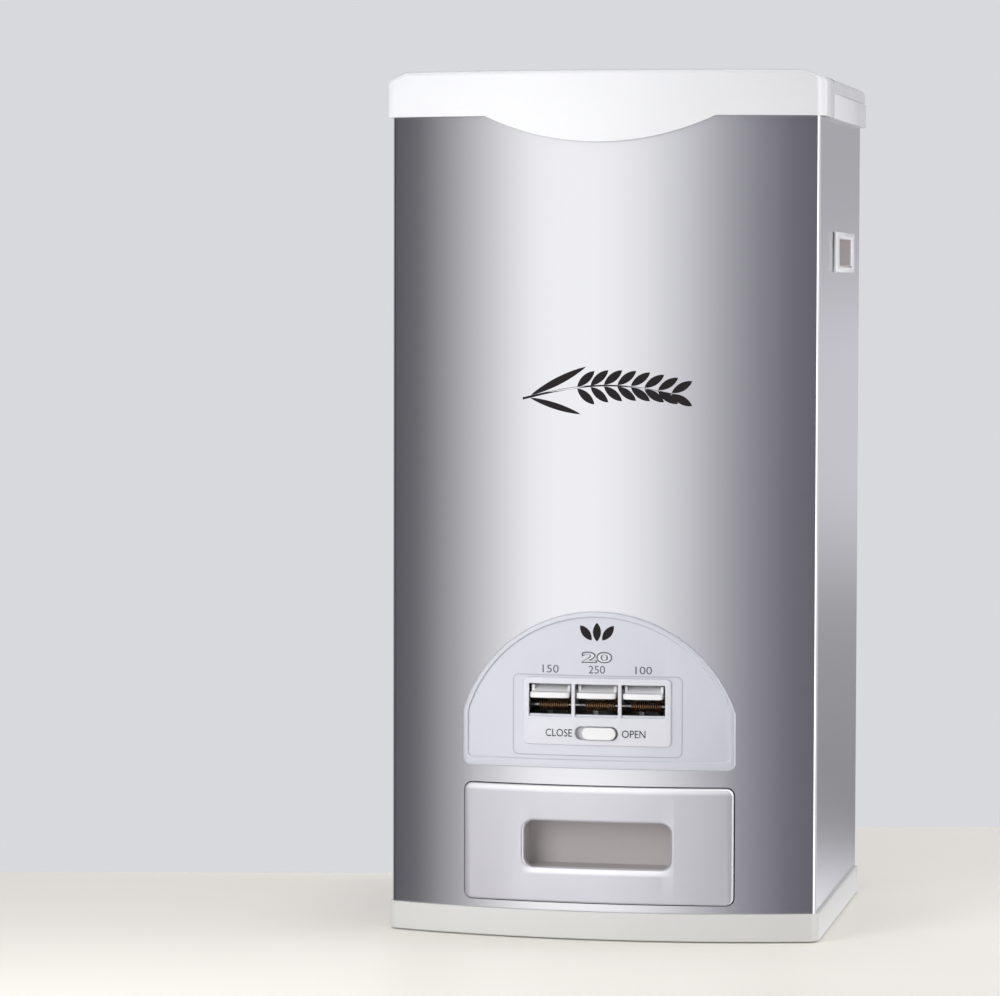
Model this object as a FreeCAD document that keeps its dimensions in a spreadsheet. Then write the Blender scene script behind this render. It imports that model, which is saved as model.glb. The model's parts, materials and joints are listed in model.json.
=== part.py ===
import FreeCAD, Part

import os
import re

# Rice dispenser: steel body, hinged lid, three dispensing keys with a lock slide, and a drawer.
# Millimetres, +Z up, front towards -Y. The origin is the bottom centre of the bounding box.

doc = FreeCAD.newDocument("RiceDispenser")
sheet = doc.addObject("Spreadsheet::Sheet", "Sizes")
derived = {}
sizes = {
    # Body and outline
    "body_width": 286.9,
    "body_depth": 250.6,
    "front_bow": 21.4,
    "corner_round": 3.4,
    "steel": 0.8,
    "wrap_bottom": 19.2,
    "wrap_height": 532.8,
    "flange_width": 14.0,
    "clearance": 0.3,
    "touch_gap": 0.1,
    # Feet and base
    "foot_height": 0.8,
    "foot_radius": 9.0,
    "foot_inset": 26.0,
    "base_overhang": 2.0,
    "base_floor": 5.2,
    "base_wall": 3.0,
    "base_edge_round": 1.2,
    "base_upstand": 10.0,
    "notch_room": 3.0,
    # Lid, collar and hinge
    "lid_overhang": 3.9,
    "lid_lap": 7.1,
    "lid_height": 30.1,
    "lid_wall": 2.2,
    "lid_step": 0.7,
    "lid_corner": 6.0,
    "parting_drop": 13.5,
    "lid_bevel_width": 14.0,
    "lid_bevel_drop": 5.0,
    "cheek_back": 66.0,
    "dip_half_width": 77.0,
    "dip_depth": 17.3,
    "seal_height": 2.6,
    "seal_width": 4.0,
    "deck": 2.5,
    "rim_height": 5.0,
    "collar_wall": 2.0,
    "mouth_margin": 26.0,
    "barrel_radius": 2.8,
    "hinge_rod_radius": 1.5,
    "rod_fit": 0.05,
    "barrel_length": 24.0,
    "barrel_gap": 0.4,
    # Hopper
    "hopper_gap": 3.0,
    "hopper_wall": 2.0,
    "hopper_rim": 2.0,
    "funnel_top": 300.0,
    "funnel_bottom": 215.0,
    "throat_drop": 2.0,
    "throat_depth": 40.0,
    "bin_corner": 8.0,
    "pocket_room": 6.0,
    "inlet_room": 4.0,
    # Metering mechanism: distances from the key axle
    "axle_set_back": 34.0,
    "axle_rise": 42.0,
    "axle_radius": 3.0,
    "inner_sweep": 54.0,
    "outer_sweep": 99.0,
    "blade": 1.5,
    "sweep_gap": 0.7,
    "case_wall": 1.6,
    "case_rise": 35.0,
    "case_drop": 40.0,
    "case_lid": 2.0,
    "arm": 2.0,
    "arm_gap": 0.75,
    "cradle_low": 43.0,
    "cradle_high": 1.0,
    "inlet_height": 26.0,
    "outlet_drop": 37.0,
    "outlet_height": 13.0,
    "bank_margin": 22.95,
    "split_left": -47.3,
    "split_right": 67.9,
    "stand_thickness": 3.0,
    "stand_foot": 11.0,
    "stand_front": 22.0,
    "stand_gap": 3.5,
    "stand_rear": 182.0,
    # Keys and lock
    "key_pitch": 31.2,
    "key_width": 26.0,
    "key_reach": 6.0,
    "key_rise": 5.0,
    "key_thickness": 3.7,
    "lip_depth": 9.0,
    "lip_corner": 3.0,
    "ramp_length": 11.5,
    "ramp_angle": 33.0,
    "ramp_thickness": 1.6,
    "cheek_width": 2.0,
    "cheek_low": 4.2,
    "cheek_high": 9.4,
    "post_half": 4.0,
    "hub_radius": 5.5,
    "hub_width": 13.0,
    "finger_length": 19.0,
    "finger_width": 3.5,
    "finger_thickness": 2.0,
    "web_angle": 27.0,
    "web_thickness": 3.0,
    "web_root": 2.0,
    "cross_half_angle": 5.0,
    "cross_thickness": 7.0,
    "pad_lap": 2.0,
    "pad_length": 14.0,
    "front_blade_angle": 22.0,
    "rear_blade_angle": 17.0,
    "arm_rib": 8.0,
    "spring_wire": 1.1,
    "spring_radius": 3.2,
    "spring_half_length": 10.3,
    "spring_set_back": 14.0,
    "spring_drop": 5.0,
    "spring_rod_radius": 1.5,
    "spring_rod_half": 51.0,
    "lug_width": 4.0,
    "lug_half_height": 4.0,
    "window_ledge": 1.5,
    "spring_pitch": 1.45,
    "lock_travel": 5.3,
    "lock_drop": 22.0,
    "bar_thickness": 3.0,
    "bar_height": 4.0,
    "tooth_thickness": 1.1,
    "tooth_gap": 0.6,
    "tooth_height": 5.0,
    "knob_width": 22.1,
    "knob_height": 8.0,
    "knob_proud": 2.0,
    "knob_root": 4.0,
    "slide_gap": 0.8,
    "slide_lap": 7.0,
    "stem_half": 5.0,
    "stem_half_height": 1.5,
    "bar_set_back": 1.0,
    "bar_end": 2.0,
    "slot_half_width": 14.4,
    "slot_height": 9.0,
    # Control panel and switch plate
    "panel_drop": 45.6,
    "panel_half_width": 91.5,
    "panel_radius": 96.0,
    "panel_centre_rise": 8.0,
    "panel_corner": 5.0,
    "panel_rim": 3.5,
    "panel_foot": 5.8,
    "panel_rim_proud": 2.8,
    "panel_face_proud": 1.0,
    "panel_back": 2.2,
    "plate_half_width": 49.4,
    "plate_drop": 30.0,
    "plate_height": 44.5,
    "plate_proud": 2.6,
    "plate_corner": 3.0,
    "window_width": 28.8,
    "window_drop": 11.3,
    "window_height": 21.6,
    # Drawer
    "front_half_width": 90.5,
    "front_bottom": 25.0,
    "front_top": 102.5,
    "front_corner": 5.0,
    "front_proud": 2.8,
    "front_back": 4.0,
    "front_gap": 0.7,
    "pull_half_width": 49.0,
    "pull_bottom": 48.0,
    "pull_top": 78.7,
    "pull_depth": 24.0,
    "pull_corner": 6.5,
    "front_edge": 1.8,
    "pull_edge": 2.4,
    "cup_wall": 1.8,
    "drawer_half_width": 84.0,
    "drawer_length": 150.0,
    "drawer_bottom": 27.0,
    "drawer_top": 88.0,
    "drawer_wall": 2.0,
    "runner_width": 16.0,
    "runner_guide": 3.0,
    "runner_lip": 12.0,
    "stop_depth": 6.0,
    "stop_height": 14.0,
    "stop_width": 12.0,
    # Chute
    "chute_height": 27.0,
    "chute_gap": 3.0,
    "chute_wall": 1.6,
    "chute_mouth_half": 76.0,
    "chute_front": 44.0,
    "chute_back": 96.0,
    "chute_mouth_front": 48.0,
    "chute_mouth_back": 92.0,
    # Side hand-holds
    "hold_front": 96.0,
    "hold_length": 105.0,
    "hold_drop": 109.5,
    "hold_height": 27.5,
    "hold_rim": 4.8,
    "hold_end": 12.0,
    "hold_proud": 2.4,
    "hold_depth": 14.0,
    "hold_wall": 1.6,
    # Fasteners
    "screw_radius": 1.8,
    "screw_head_radius": 3.4,
    "screw_head": 2.0,
    "screw_fit": 0.1,
    "rivet_radius": 1.6,
    "rivet_head_radius": 3.2,
    "rivet_head": 0.9,
    "rivet_margin": 56.0,
    "rivet_crush": 0.6,
    "screw_sink": 0.2,
    "stand_screw_front": 60.0,
    "stand_screw_back": 150.0,
    "drawer_screw_inset": 14.0,
    "drawer_screw_edge": 10.0,
    "drawer_screw_boss": 5.0,
    "clip_width": 1.2,
    "clip_radius": 6.0,
    "over": 20.0,
    "nick": 1.0,
}

for row, (alias, number) in enumerate(sizes.items(), 1):
    cell = "A" + str(row)
    sheet.set(cell, str(number))
    sheet.setAlias(cell, alias)


def derive(name, text):
    derived[name] = text


def ref(text):
    def swap(match):
        word = match.group(0)
        if word in derived:
            return "(" + ref(derived[word]) + ")"
        if word in sizes:
            return "Sizes." + word
        return word
    return re.sub(r"[a-z_][a-z_0-9]*", swap, str(text))


def value(text):
    doc.recompute()
    return float(sheet.evalExpression(ref(text)))


derive("half_width", "body_width / 2")
derive("wrap_top", "wrap_bottom + wrap_height")
derive("lid_bottom", "wrap_top - lid_lap")
derive("lid_top", "lid_bottom + lid_height")
derive("lid_parting", "lid_top - parting_drop")
derive("hold_bottom", "wrap_top - hold_drop")
derive("bank_half_width", "half_width - bank_margin")
derive("throat_bottom", "axle_height - throat_drop")
derive("case_top", "axle_height + case_rise")
derive("case_bottom", "axle_height - case_drop")
derive("inlet_high", "inlet_low + inlet_height")
derive("outlet_low", "axle_height - outlet_drop")
derive("outlet_high", "outlet_low + outlet_height")
derive("spring_height", "axle_height - spring_drop")
derive("lock_height", "axle_height - lock_drop")
derive("panel_bottom", "axle_height - panel_drop")
derive("panel_centre", "panel_bottom + panel_centre_rise")
derive("plate_bottom", "axle_height - plate_drop")
derive("plate_top", "plate_bottom + plate_height")
derive("window_bottom", "axle_height - window_drop")
derive("window_top", "window_bottom + window_height")
derive("chute_top", "chute_bottom + chute_height")
derive("chute_bottom", "drawer_top + chute_gap")
derive("axle_height", "chute_top + axle_rise")
derive("inlet_low", "axle_height")
derive("key_top", "axle_height + key_rise")
derive("hinge_reach", "barrel_radius + clearance")
derive("rear_reach", "lid_overhang + hinge_reach + barrel_radius")
derive("front_y", "-(body_depth + rear_reach - lid_overhang) / 2")
derive("back_y", "front_y + body_depth")
derive("side_front_y", "front_y + front_bow")
derive("bow_radius", "(half_width * half_width + front_bow * front_bow) / (2 * front_bow)")
derive("bow_centre_y", "front_y + bow_radius")
derive("axle_y", "front_y + axle_set_back")
derive("base_top", "wrap_bottom")
derive("floor_top", "foot_height + base_floor")


def feature(kind, name, **expressions):
    made = doc.addObject(kind, name)
    for path, text in expressions.items():
        made.setExpression(path, ref(text))
    return made


def place(made, x, y, z):
    made.setExpression("Placement.Base.x", ref(x))
    made.setExpression("Placement.Base.y", ref(y))
    made.setExpression("Placement.Base.z", ref(z))
    return made


def box(name, x, y, z, dx, dy, dz):
    made = feature("Part::Box", name, Length=dx, Width=dy, Height=dz)
    return place(made, x, y, z)


def boxBetween(name, x, y, z):
    # each of x, y and z is a pair: low and high
    spans = ["(" + high + ") - (" + low + ")" for low, high in (x, y, z)]
    return box(name, x[0], y[0], z[0], *spans)


alongZ = FreeCAD.Rotation()
alongX = FreeCAD.Rotation(FreeCAD.Vector(1, 1, 1), 120)
alongBack = FreeCAD.Rotation(FreeCAD.Vector(1, 0, 0), -90)


def cylinder(name, radius, length, x, y, z, turn=alongZ):
    made = feature("Part::Cylinder", name, Radius=radius, Height=length)
    made.Placement.Rotation = turn
    return place(made, x, y, z)


def fuse(name, *pieces):
    made = doc.addObject("Part::MultiFuse", name)
    made.Shapes = list(pieces)
    made.Refine = True
    return made


def common(name, first, second):
    made = doc.addObject("Part::Common", name)
    made.Base = first
    made.Tool = second
    return made


def cut(name, base, *tools):
    made = doc.addObject("Part::Cut", name)
    made.Base = base
    made.Tool = tools[0] if len(tools) == 1 else fuse(name + "_tools", *tools)
    made.Refine = True
    return made


def group(name, pieces):
    made = doc.addObject("Part::Compound", name)
    made.Links = list(pieces)
    return made


def mirrored(name, source):
    made = doc.addObject("Part::Mirroring", name)
    made.Source = source
    made.Normal = FreeCAD.Vector(1, 0, 0)
    return made


def rounded(name, source, radius, chosen):
    # rounds the edges of source for which chosen(edge) is true
    doc.recompute()
    made = doc.addObject("Part::Fillet", name)
    made.Base = source
    amount = value(radius)
    picked = [i + 1 for i, edge in enumerate(source.Shape.Edges) if chosen(edge)]
    made.Edges = [(i, amount, amount) for i in picked]
    return made


def isUpright(edge):
    span = edge.BoundBox
    return span.ZLength > 1 and span.XLength < 0.01 and span.YLength < 0.01


def isForward(edge):
    span = edge.BoundBox
    return span.YLength > 1 and span.XLength < 0.01 and span.ZLength < 0.01


def bowed(name, grow, low, high, back="back_y", corner="corner_round"):
    # upright block with the bowed front; grow moves its front and sides outwards
    cylinderPart = cylinder(name + "_bow", "bow_radius + (" + grow + ")", "(" + high + ") - (" + low + ")",
                            "0", "bow_centre_y", low)
    side = "half_width + (" + grow + ")"
    boxPart = boxBetween(name + "_box", ("-(" + side + ")", side),
                         ("front_y - (" + grow + ") - nick", back), (low, high))
    sharp = common(name + "_sharp", cylinderPart, boxPart)
    limit = value("side_front_y + over / 2")
    doc.recompute()
    return rounded(name, sharp, corner + " + (" + grow + ")",
                   lambda edge: isUpright(edge) and edge.BoundBox.YMax < limit)


def shellBlock(name, inner, outer, low, high, half):
    # curved plate between two offsets of the bowed front, as wide as 2 x half
    height = "(" + high + ") - (" + low + ")"
    rim = cylinder(name + "_out", "bow_radius + (" + outer + ")", height, "0", "bow_centre_y", low)
    core = cylinder(name + "_in", "bow_radius + (" + inner + ")", height, "0", "bow_centre_y", low)
    ring = cut(name + "_ring", rim, core)
    window = boxBetween(name + "_span", ("-(" + half + ")", half),
                        ("front_y - over", "front_y + 3 * over"), (low, high))
    return common(name, ring, window)


def pyramid(name, low, high, lowX, lowY, highX, highY):
    # upright frustum between two rectangles; each pair is low and high
    made = feature("Part::Wedge", name, Ymin=low, Ymax=high, Xmin=lowX[0], Xmax=lowX[1],
                   X2min=highX[0], X2max=highX[1], Zmin="-(" + lowY[1] + ")", Zmax="-(" + lowY[0] + ")",
                   Z2min="-(" + highY[1] + ")", Z2max="-(" + highY[0] + ")")
    made.Placement.Rotation = FreeCAD.Rotation(FreeCAD.Vector(1, 0, 0), 90)
    return made


def sector(name, inner, outer, x, start, end):
    # ring sector about the key axle; angles run from the back upwards
    span = "(" + end + ") - (" + start + ")"
    length = "(" + x[1] + ") - (" + x[0] + ")"
    turn = FreeCAD.Rotation(FreeCAD.Vector(1, 0, 0), value(start)) * alongX
    rim = cylinder(name + "_rim", outer, length, x[0], "axle_y", "axle_height", turn)
    rim.setExpression("Angle", ref(span))
    core = cylinder(name + "_core", inner, length, x[0], "axle_y", "axle_height", turn)
    return cut(name, rim, core)


parts = {}


def keep(name, made):
    made.Label = name
    parts[name] = made
    return made


# Feet and base tray
footSpots = [(side, y) for side in ("-1", "1") for y in ("side_front_y + foot_inset", "back_y - foot_inset")]
pads = [cylinder("pad_" + str(i), "foot_radius", "foot_height",
                 side + " * (half_width - foot_inset)", y, "0")
        for i, (side, y) in enumerate(footSpots)]
keep("foot_pads", group("foot_pads", pads))

baseSharp = bowed("base_outer", "base_overhang", "foot_height", "base_top",
                  "back_y + base_overhang", "lid_corner")
baseLevel = value("foot_height")
baseOuter = rounded("base_round", baseSharp, "base_edge_round",
                    lambda edge: edge.BoundBox.ZMax < baseLevel + 0.01)
upstand = bowed("base_upstand", "-(steel + touch_gap)", "floor_top", "base_top + base_upstand",
                "back_y - 2 * steel - touch_gap")
cavity = bowed("base_cavity", "-(steel + touch_gap + base_wall)", "floor_top",
               "base_top + base_upstand + nick", "back_y - 2 * steel - touch_gap - base_wall", "base_wall + 2")
notch = boxBetween("base_notch", ("-(front_half_width + notch_room)", "front_half_width + notch_room"),
                   ("front_y - over", "side_front_y + over / 2"),
                   ("base_top", "base_top + base_upstand + nick"))
standScrewSpots = [(side, u) for side in ("-1", "1") for u in ("stand_screw_front", "stand_screw_back")]
screwX = "(bank_half_width + stand_gap + stand_thickness + stand_foot / 2)"


def standScrew(tag, grow):
    made = []
    for i, (side, u) in enumerate(standScrewSpots):
        x = side + " * " + screwX
        y = "front_y + " + u
        head = cylinder("stand_head_" + tag + str(i), "screw_head_radius + " + grow, "screw_head", x, y,
                        "foot_height + screw_sink")
        shank = cylinder("stand_shank_" + tag + str(i), "screw_radius + " + grow,
                         "base_floor + stand_thickness + screw_head", x, y, "foot_height + screw_sink")
        made.append(fuse("stand_screw_" + tag + str(i), head, shank))
    return made


baseHoles = [cylinder("base_bore_" + str(i), "screw_head_radius + screw_fit", "screw_head + screw_sink",
                      side + " * " + screwX, "front_y + " + u, "foot_height")
             for i, (side, u) in enumerate(standScrewSpots)]
baseHoles += standScrew("hole", "screw_fit")
keep("base_tray", cut("base_tray", fuse("base_whole", baseOuter, upstand), cavity, notch, *baseHoles))
keep("stand_screws", group("stand_screws", standScrew("fast", "0")))


# Openings in the front shared by the wrap, the panel and the drawer front
def dome(name, inset, foot=None):
    disc = cylinder(name + "_disc", "panel_radius - (" + inset + ")", "6 * over", "0", "front_y - over",
                    "panel_centre", alongBack)
    half = "panel_half_width - (" + inset + ")"
    block = boxBetween(name + "_block", ("-(" + half + ")", half), ("front_y - over", "front_y + 3 * over"),
                       ("panel_bottom + (" + (foot or inset) + ")", "panel_centre + panel_radius + over"))
    sharp = common(name + "_sharp", disc, block)
    doc.recompute()
    limit = value("panel_bottom + over / 2")
    return rounded(name, sharp, "panel_corner - (" + inset + ") * 0.5",
                   lambda edge: isForward(edge) and edge.BoundBox.ZMax < limit)


def frontWindow(name, half, low, high, corner):
    block = boxBetween(name + "_block", ("-(" + half + ")", half), ("front_y - over", "front_y + 3 * over"),
                       (low, high))
    return rounded(name, block, corner, isForward)


# Side hand-holds
holdBack = "front_y + hold_front + hold_length"


def holdBlock(name, x, inset, ends="hold_end"):
    return boxBetween(name, x, ("front_y + hold_front + " + ends + " + " + inset,
                                holdBack + " - " + ends + " - (" + inset + ")"),
                      ("hold_bottom + " + inset, "hold_bottom + hold_height - (" + inset + ")"))


holdFlange = holdBlock("hold_flange", ("half_width", "half_width + hold_proud"), "0", "0")
holdCup = holdBlock("hold_cup", ("half_width - hold_depth", "half_width + hold_proud"),
                    "hold_rim - hold_wall")
holdHollow = holdBlock("hold_hollow", ("half_width - hold_depth + hold_wall", "half_width + hold_proud + nick"),
                       "hold_rim")
holdRight = keep("hand_hold_right", cut("hand_hold_right", fuse("hold_solid", holdFlange, holdCup), holdHollow))
keep("hand_hold_left", mirrored("hand_hold_left", holdRight))

# Steel wrap, back panel and rivets
wrapOuter = bowed("wrap_outer", "0", "wrap_bottom", "wrap_top")
wrapInner = bowed("wrap_inner", "-steel", "wrap_bottom - nick", "wrap_top + nick", "back_y - steel")
rearWindow = boxBetween("rear_window", ("-(half_width - flange_width)", "half_width - flange_width"),
                        ("back_y - 5", "back_y + 5"), ("wrap_bottom - nick", "wrap_top + nick"))
panelHole = dome("panel_hole", "panel_rim - clearance")
drawerHole = frontWindow("drawer_hole", "front_half_width + front_gap", "front_bottom - front_gap",
                         "front_top + front_gap", "front_corner + front_gap")
holdHole = holdBlock("hold_hole", ("half_width - over / 4", "half_width + over / 4"), "hold_rim - hold_wall - touch_gap")
holdHoleLeft = mirrored("hold_hole_left", holdHole)
rivetHeights = ["wrap_bottom + rivet_margin + " + str(i) + " * (wrap_height - 2 * rivet_margin) / 3"
                for i in range(4)]
rivetSpots = [(side, z) for side in ("-1", "1") for z in rivetHeights]
rivetX = "(half_width - flange_width / 2)"


def rivets(tag, radius, front, back):
    return [cylinder("rivet_" + tag + str(i), radius, "(" + back + ") - (" + front + ")",
                     side + " * " + rivetX, front, z, alongBack)
            for i, (side, z) in enumerate(rivetSpots)]


panelInside = "back_y - 2 * steel"
keep("body_wrap", cut("body_wrap", wrapOuter, wrapInner, rearWindow, panelHole, drawerHole, holdHole,
                      holdHoleLeft, *rivets("wrap_hole", "rivet_radius + touch_gap",
                                               "back_y - over / 4", "back_y + over / 4")))
backPlate = boxBetween("back_plate", ("-(half_width - steel - clearance)", "half_width - steel - clearance"),
                       (panelInside, "back_y - steel"), ("wrap_bottom", "wrap_top"))
keep("back_panel", cut("back_panel", backPlate,
                       *rivets("panel_hole", "rivet_radius + touch_gap", "back_y - 5", "back_y + 5")))
rivetTails = rivets("tail", "rivet_radius + rivet_crush", panelInside + " - rivet_head", panelInside)
rivetShanks = rivets("shank", "rivet_radius", panelInside + " - rivet_head", "back_y + rivet_head")
rivetHeads = rivets("head", "rivet_head_radius", "back_y", "back_y + rivet_head")
keep("back_rivets", group("back_rivets", [fuse("rivet_whole_" + str(i), *piece) for i, piece
                                          in enumerate(zip(rivetTails, rivetShanks, rivetHeads))]))

# Hopper: bin, funnel and throat
binGrow = "-(steel + hopper_gap)"
binBack = "back_y - 2 * steel - hopper_gap"
throatFront = "axle_y + outer_sweep + blade + sweep_gap"


binSide = "half_width - steel - hopper_gap"
funnelFront = "side_front_y + hopper_gap + nick"


def binForm(tag, inset, low, top):
    whole = bowed("bin_" + tag, binGrow + " - " + inset, low, top, binBack + " - " + inset,
                  "steel + hopper_gap + " + inset + " + bin_corner")
    pocket = holdBlock("pocket_" + tag, ("half_width - hold_depth - 2 * nick - " + inset, "half_width"),
                       "-pocket_room - " + inset)
    return cut("bin_form_" + tag, whole, pocket, mirrored("pocket_left_" + tag, pocket))


def funnelForm(tag, inset):
    throatX = ("-(bank_half_width - " + inset + ")", "bank_half_width - " + inset)
    throatY = (throatFront + " + " + inset, throatFront + " + throat_depth - " + inset)
    slope = pyramid("funnel_" + tag, "funnel_bottom", "funnel_top + " + inset, throatX, throatY,
                    ("-(" + binSide + " - " + inset + ")", binSide + " - " + inset),
                    (funnelFront + " + " + inset, binBack + " - " + inset))
    throat = boxBetween("throat_" + tag, throatX, throatY, ("throat_bottom + " + inset, "funnel_bottom"))
    return fuse("funnel_form_" + tag, slope, throat)


hopperOuter = binForm("outer", "0", "funnel_top", "wrap_top")
hopperRim = bowed("hopper_rim", "0", "wrap_top", "wrap_top + hopper_rim", "back_y")
hopperInner = binForm("inner", "hopper_wall", "funnel_top + hopper_wall", "wrap_top + hopper_rim + nick")
outlet = boxBetween("bin_outlet", ("-(" + binSide + " - hopper_wall)", binSide + " - hopper_wall"),
                    (funnelFront + " + hopper_wall", binBack + " - hopper_wall"),
                    ("funnel_top - nick", "funnel_top + hopper_wall + nick"))
keep("hopper", cut("hopper", fuse("hopper_solid", hopperOuter, hopperRim), hopperInner, outlet))
inlet = boxBetween("hopper_inlet", ("-(bank_half_width - hopper_wall)", "bank_half_width - hopper_wall"),
                   (throatFront + " - nick", throatFront + " + hopper_wall + nick"),
                   ("inlet_low", "inlet_high + inlet_room"))
keep("hopper_funnel", cut("hopper_funnel", funnelForm("outer", "0"), funnelForm("inner", "hopper_wall"), inlet))

# Collar that clamps the hopper rim and carries the lid
lidGrow = "lid_overhang - lid_step"
cheekY = "front_y + cheek_back"
deckBottom = "wrap_top + hopper_rim"
deckTop = "wrap_top + hopper_rim + deck"
wallY = "back_y + lid_overhang"
rearOnly = boxBetween("rear_only", ("-(half_width + 20)", "half_width + 20"),
                      (cheekY + " + clearance", "back_y + 40"), ("lid_bottom - 5", "lid_top + 5"))
apronOuter = common("apron_rear", bowed("apron_outer", "lid_overhang", "lid_bottom",
                                          "lid_parting - clearance / 2",
                                        wallY), rearOnly)
apronInner = bowed("apron_inner", "touch_gap", "lid_bottom - nick", deckBottom,
                   "back_y + rivet_head + touch_gap")
apronAbove = bowed("apron_above", "touch_gap", deckTop, "lid_top", "back_y + touch_gap")
deckPlate = bowed("deck_plate", "0", deckBottom, deckTop, "back_y")
mouthX = "half_width - mouth_margin"
mouthY = ("side_front_y + 8", "back_y - mouth_margin")


def mouthBlock(name, grow, low, high):
    block = boxBetween(name + "_box", ("-(" + mouthX + " + " + grow + ")", mouthX + " + " + grow),
                       (mouthY[0] + " - (" + grow + ")", mouthY[1] + " + " + grow), (low, high))
    return rounded(name, block, "12 + " + grow, isUpright)


rim = cut("mouth_rim", mouthBlock("rim_outer", "collar_wall", deckBottom, deckTop + " + rim_height"),
          mouthBlock("rim_inner", "0", "wrap_top", "lid_top"))
mouth = mouthBlock("mouth", "0", "wrap_top - nick", "lid_top")
apron = cut("apron", apronOuter, apronInner, apronAbove)

# Lid hinge: barrels alternate between collar and lid along one rod
hingeY = wallY + " + hinge_reach"
barrelStep = "(barrel_length + barrel_gap)"


def barrels(tag, indices, armLow, armHigh):
    made = []
    for i in indices:
        x = "(" + str(i - 3) + " * " + barrelStep + " + barrel_gap / 2)"
        tube = cylinder("barrel_" + tag + str(i), "barrel_radius", "barrel_length", x, hingeY,
                        "lid_parting", alongX)
        arm = boxBetween("barrel_arm_" + tag + str(i), (x, x + " + barrel_length"), (wallY + " - lid_wall", hingeY),
                         (armLow, armHigh))
        made += [tube, arm]
    return made


rodLength = "6 * " + barrelStep
rodX = "-3 * " + barrelStep


def rodHole(name):
    return cylinder(name, "hinge_rod_radius + rod_fit", rodLength + " + 20", rodX + " - 10", hingeY,
                    "lid_parting", alongX)


collarBarrels = barrels("collar", (0, 2, 4), "lid_parting - barrel_radius", "lid_parting")
collarSolid = fuse("collar_solid", apron, deckPlate, rim, *collarBarrels)
keep("top_collar", cut("top_collar", collarSolid, mouth, rodHole("collar_rod_hole")))
keep("hinge_rod", cylinder("hinge_rod", "hinge_rod_radius", rodLength, rodX, hingeY, "lid_parting", alongX))


# Lid: crowned top, deep apron at the front, shallow edge behind the cheeks
def bevelBox(name, drop, side):
    made = box(name, "half_width + lid_overhang - lid_bevel_width" if side else "-(half_width + 2 * over)",
               "front_y - 2 * over" if side else "back_y + lid_overhang - lid_bevel_width",
               "lid_top - (" + drop + ")", "3 * over" if side else "2 * half_width + 4 * over",
               "body_depth + 4 * over" if side else "3 * over", "over")
    slope = FreeCAD.Rotation(FreeCAD.Vector(0, 1, 0) if side else FreeCAD.Vector(-1, 0, 0),
                             value("atan(lid_bevel_drop / lid_bevel_width)"))
    made.Placement.Rotation = slope
    return made


def lidForm(tag, inset, cheek, low, corner):
    top = "lid_top - (" + inset + ")"
    front = bowed("lid_front_" + tag, "lid_overhang - (" + inset + ")", low, top, cheek, corner)
    rear = bowed("lid_rear_" + tag, lidGrow + " - (" + inset + ")", "lid_parting + clearance / 2 - (" + inset
                 + ") * 0.5", top, wallY + " - lid_step - (" + inset + ")", corner)
    sideBevel = bevelBox("bevel_side_" + tag, inset, True)
    rearBevel = bevelBox("bevel_rear_" + tag, inset, False)
    return cut("lid_form_" + tag, fuse("lid_blocks_" + tag, front, rear), sideBevel,
               mirrored("bevel_left_" + tag, sideBevel), rearBevel)


lidOuter = lidForm("outer", "0", cheekY, "lid_bottom", "lid_corner")
lidInner = lidForm("inner", "lid_wall", cheekY + " + nick", "lid_bottom - nick", "corner_round")
dipRadius = "(dip_half_width * dip_half_width + dip_depth * dip_depth) / (2 * dip_depth)"
dipDisc = cylinder("dip_disc", dipRadius, "3 * over", "0", "front_y - over",
                   "lid_bottom - dip_depth + " + dipRadius,
                   alongBack)
dipShell = shellBlock("dip_shell", "lid_overhang - lid_wall", "lid_overhang", "lid_bottom - dip_depth - nick",
                      "lid_bottom + nick / 2", "dip_half_width + over")
dip = common("lid_dip", dipShell, dipDisc)
sealTop = deckTop + " + rim_height + clearance + seal_height"
ribGrow = "collar_wall / 2 - seal_width / 2"
rib = cut("lid_rib", mouthBlock("rib_outer", ribGrow + " + seal_width", sealTop, "lid_top"),
          mouthBlock("rib_inner", ribGrow, "wrap_top", "lid_top"))
lidBarrels = barrels("lid", (1, 3, 5), "lid_parting", "lid_parting + barrel_radius")
ringTrim = common("ring_trim", rib, lidInner)
lidShell = cut("lid_shell", lidOuter, lidInner)
keep("lid", cut("lid", fuse("lid_solid", lidShell, dip, *lidBarrels), rodHole("lid_rod_hole")))
keep("lid_ring", ringTrim)
keep("lid_seal", cut("lid_seal", mouthBlock("seal_outer", ribGrow + " + seal_width",
                                            deckTop + " + rim_height + clearance", sealTop),
                     mouthBlock("seal_inner", ribGrow, "wrap_top", "lid_top")))

# Stands that carry the axle, the metering case and the lock bar
standX = "(bank_half_width + stand_gap)"
standTop = "case_top - case_lid"
standPlate = boxBetween("stand_plate", (standX, standX + " + stand_thickness"),
                        ("front_y + stand_front", "front_y + stand_rear"), ("floor_top", standTop))
standFoot = boxBetween("stand_foot_plate", (standX, standX + " + stand_thickness + stand_foot"),
                       ("front_y + stand_front + 20", "front_y + stand_rear"),
                       ("floor_top", "floor_top + stand_thickness"))
axleHole = cylinder("axle_hole", "axle_radius + rod_fit", "3 * bank_half_width", "-1.5 * bank_half_width",
                    "axle_y", "axle_height", alongX)
toothY = "axle_y + finger_thickness / 2 + tooth_gap"
barY = ("axle_y - bar_thickness / 2 + bar_set_back", "axle_y + bar_thickness / 2 + bar_set_back")
barZ = ("lock_height - bar_height / 2", "lock_height + bar_height / 2")
barHole = boxBetween("bar_hole", ("-1.5 * bank_half_width", "1.5 * bank_half_width"),
                     (barY[0] + " - clearance", barY[1] + " + clearance"),
                     (barZ[0] + " - touch_gap", barZ[1] + " + touch_gap"))
standSolid = fuse("stand_solid", standPlate, standFoot)
standHoles = standScrew("stand_hole", "screw_fit")
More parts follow.
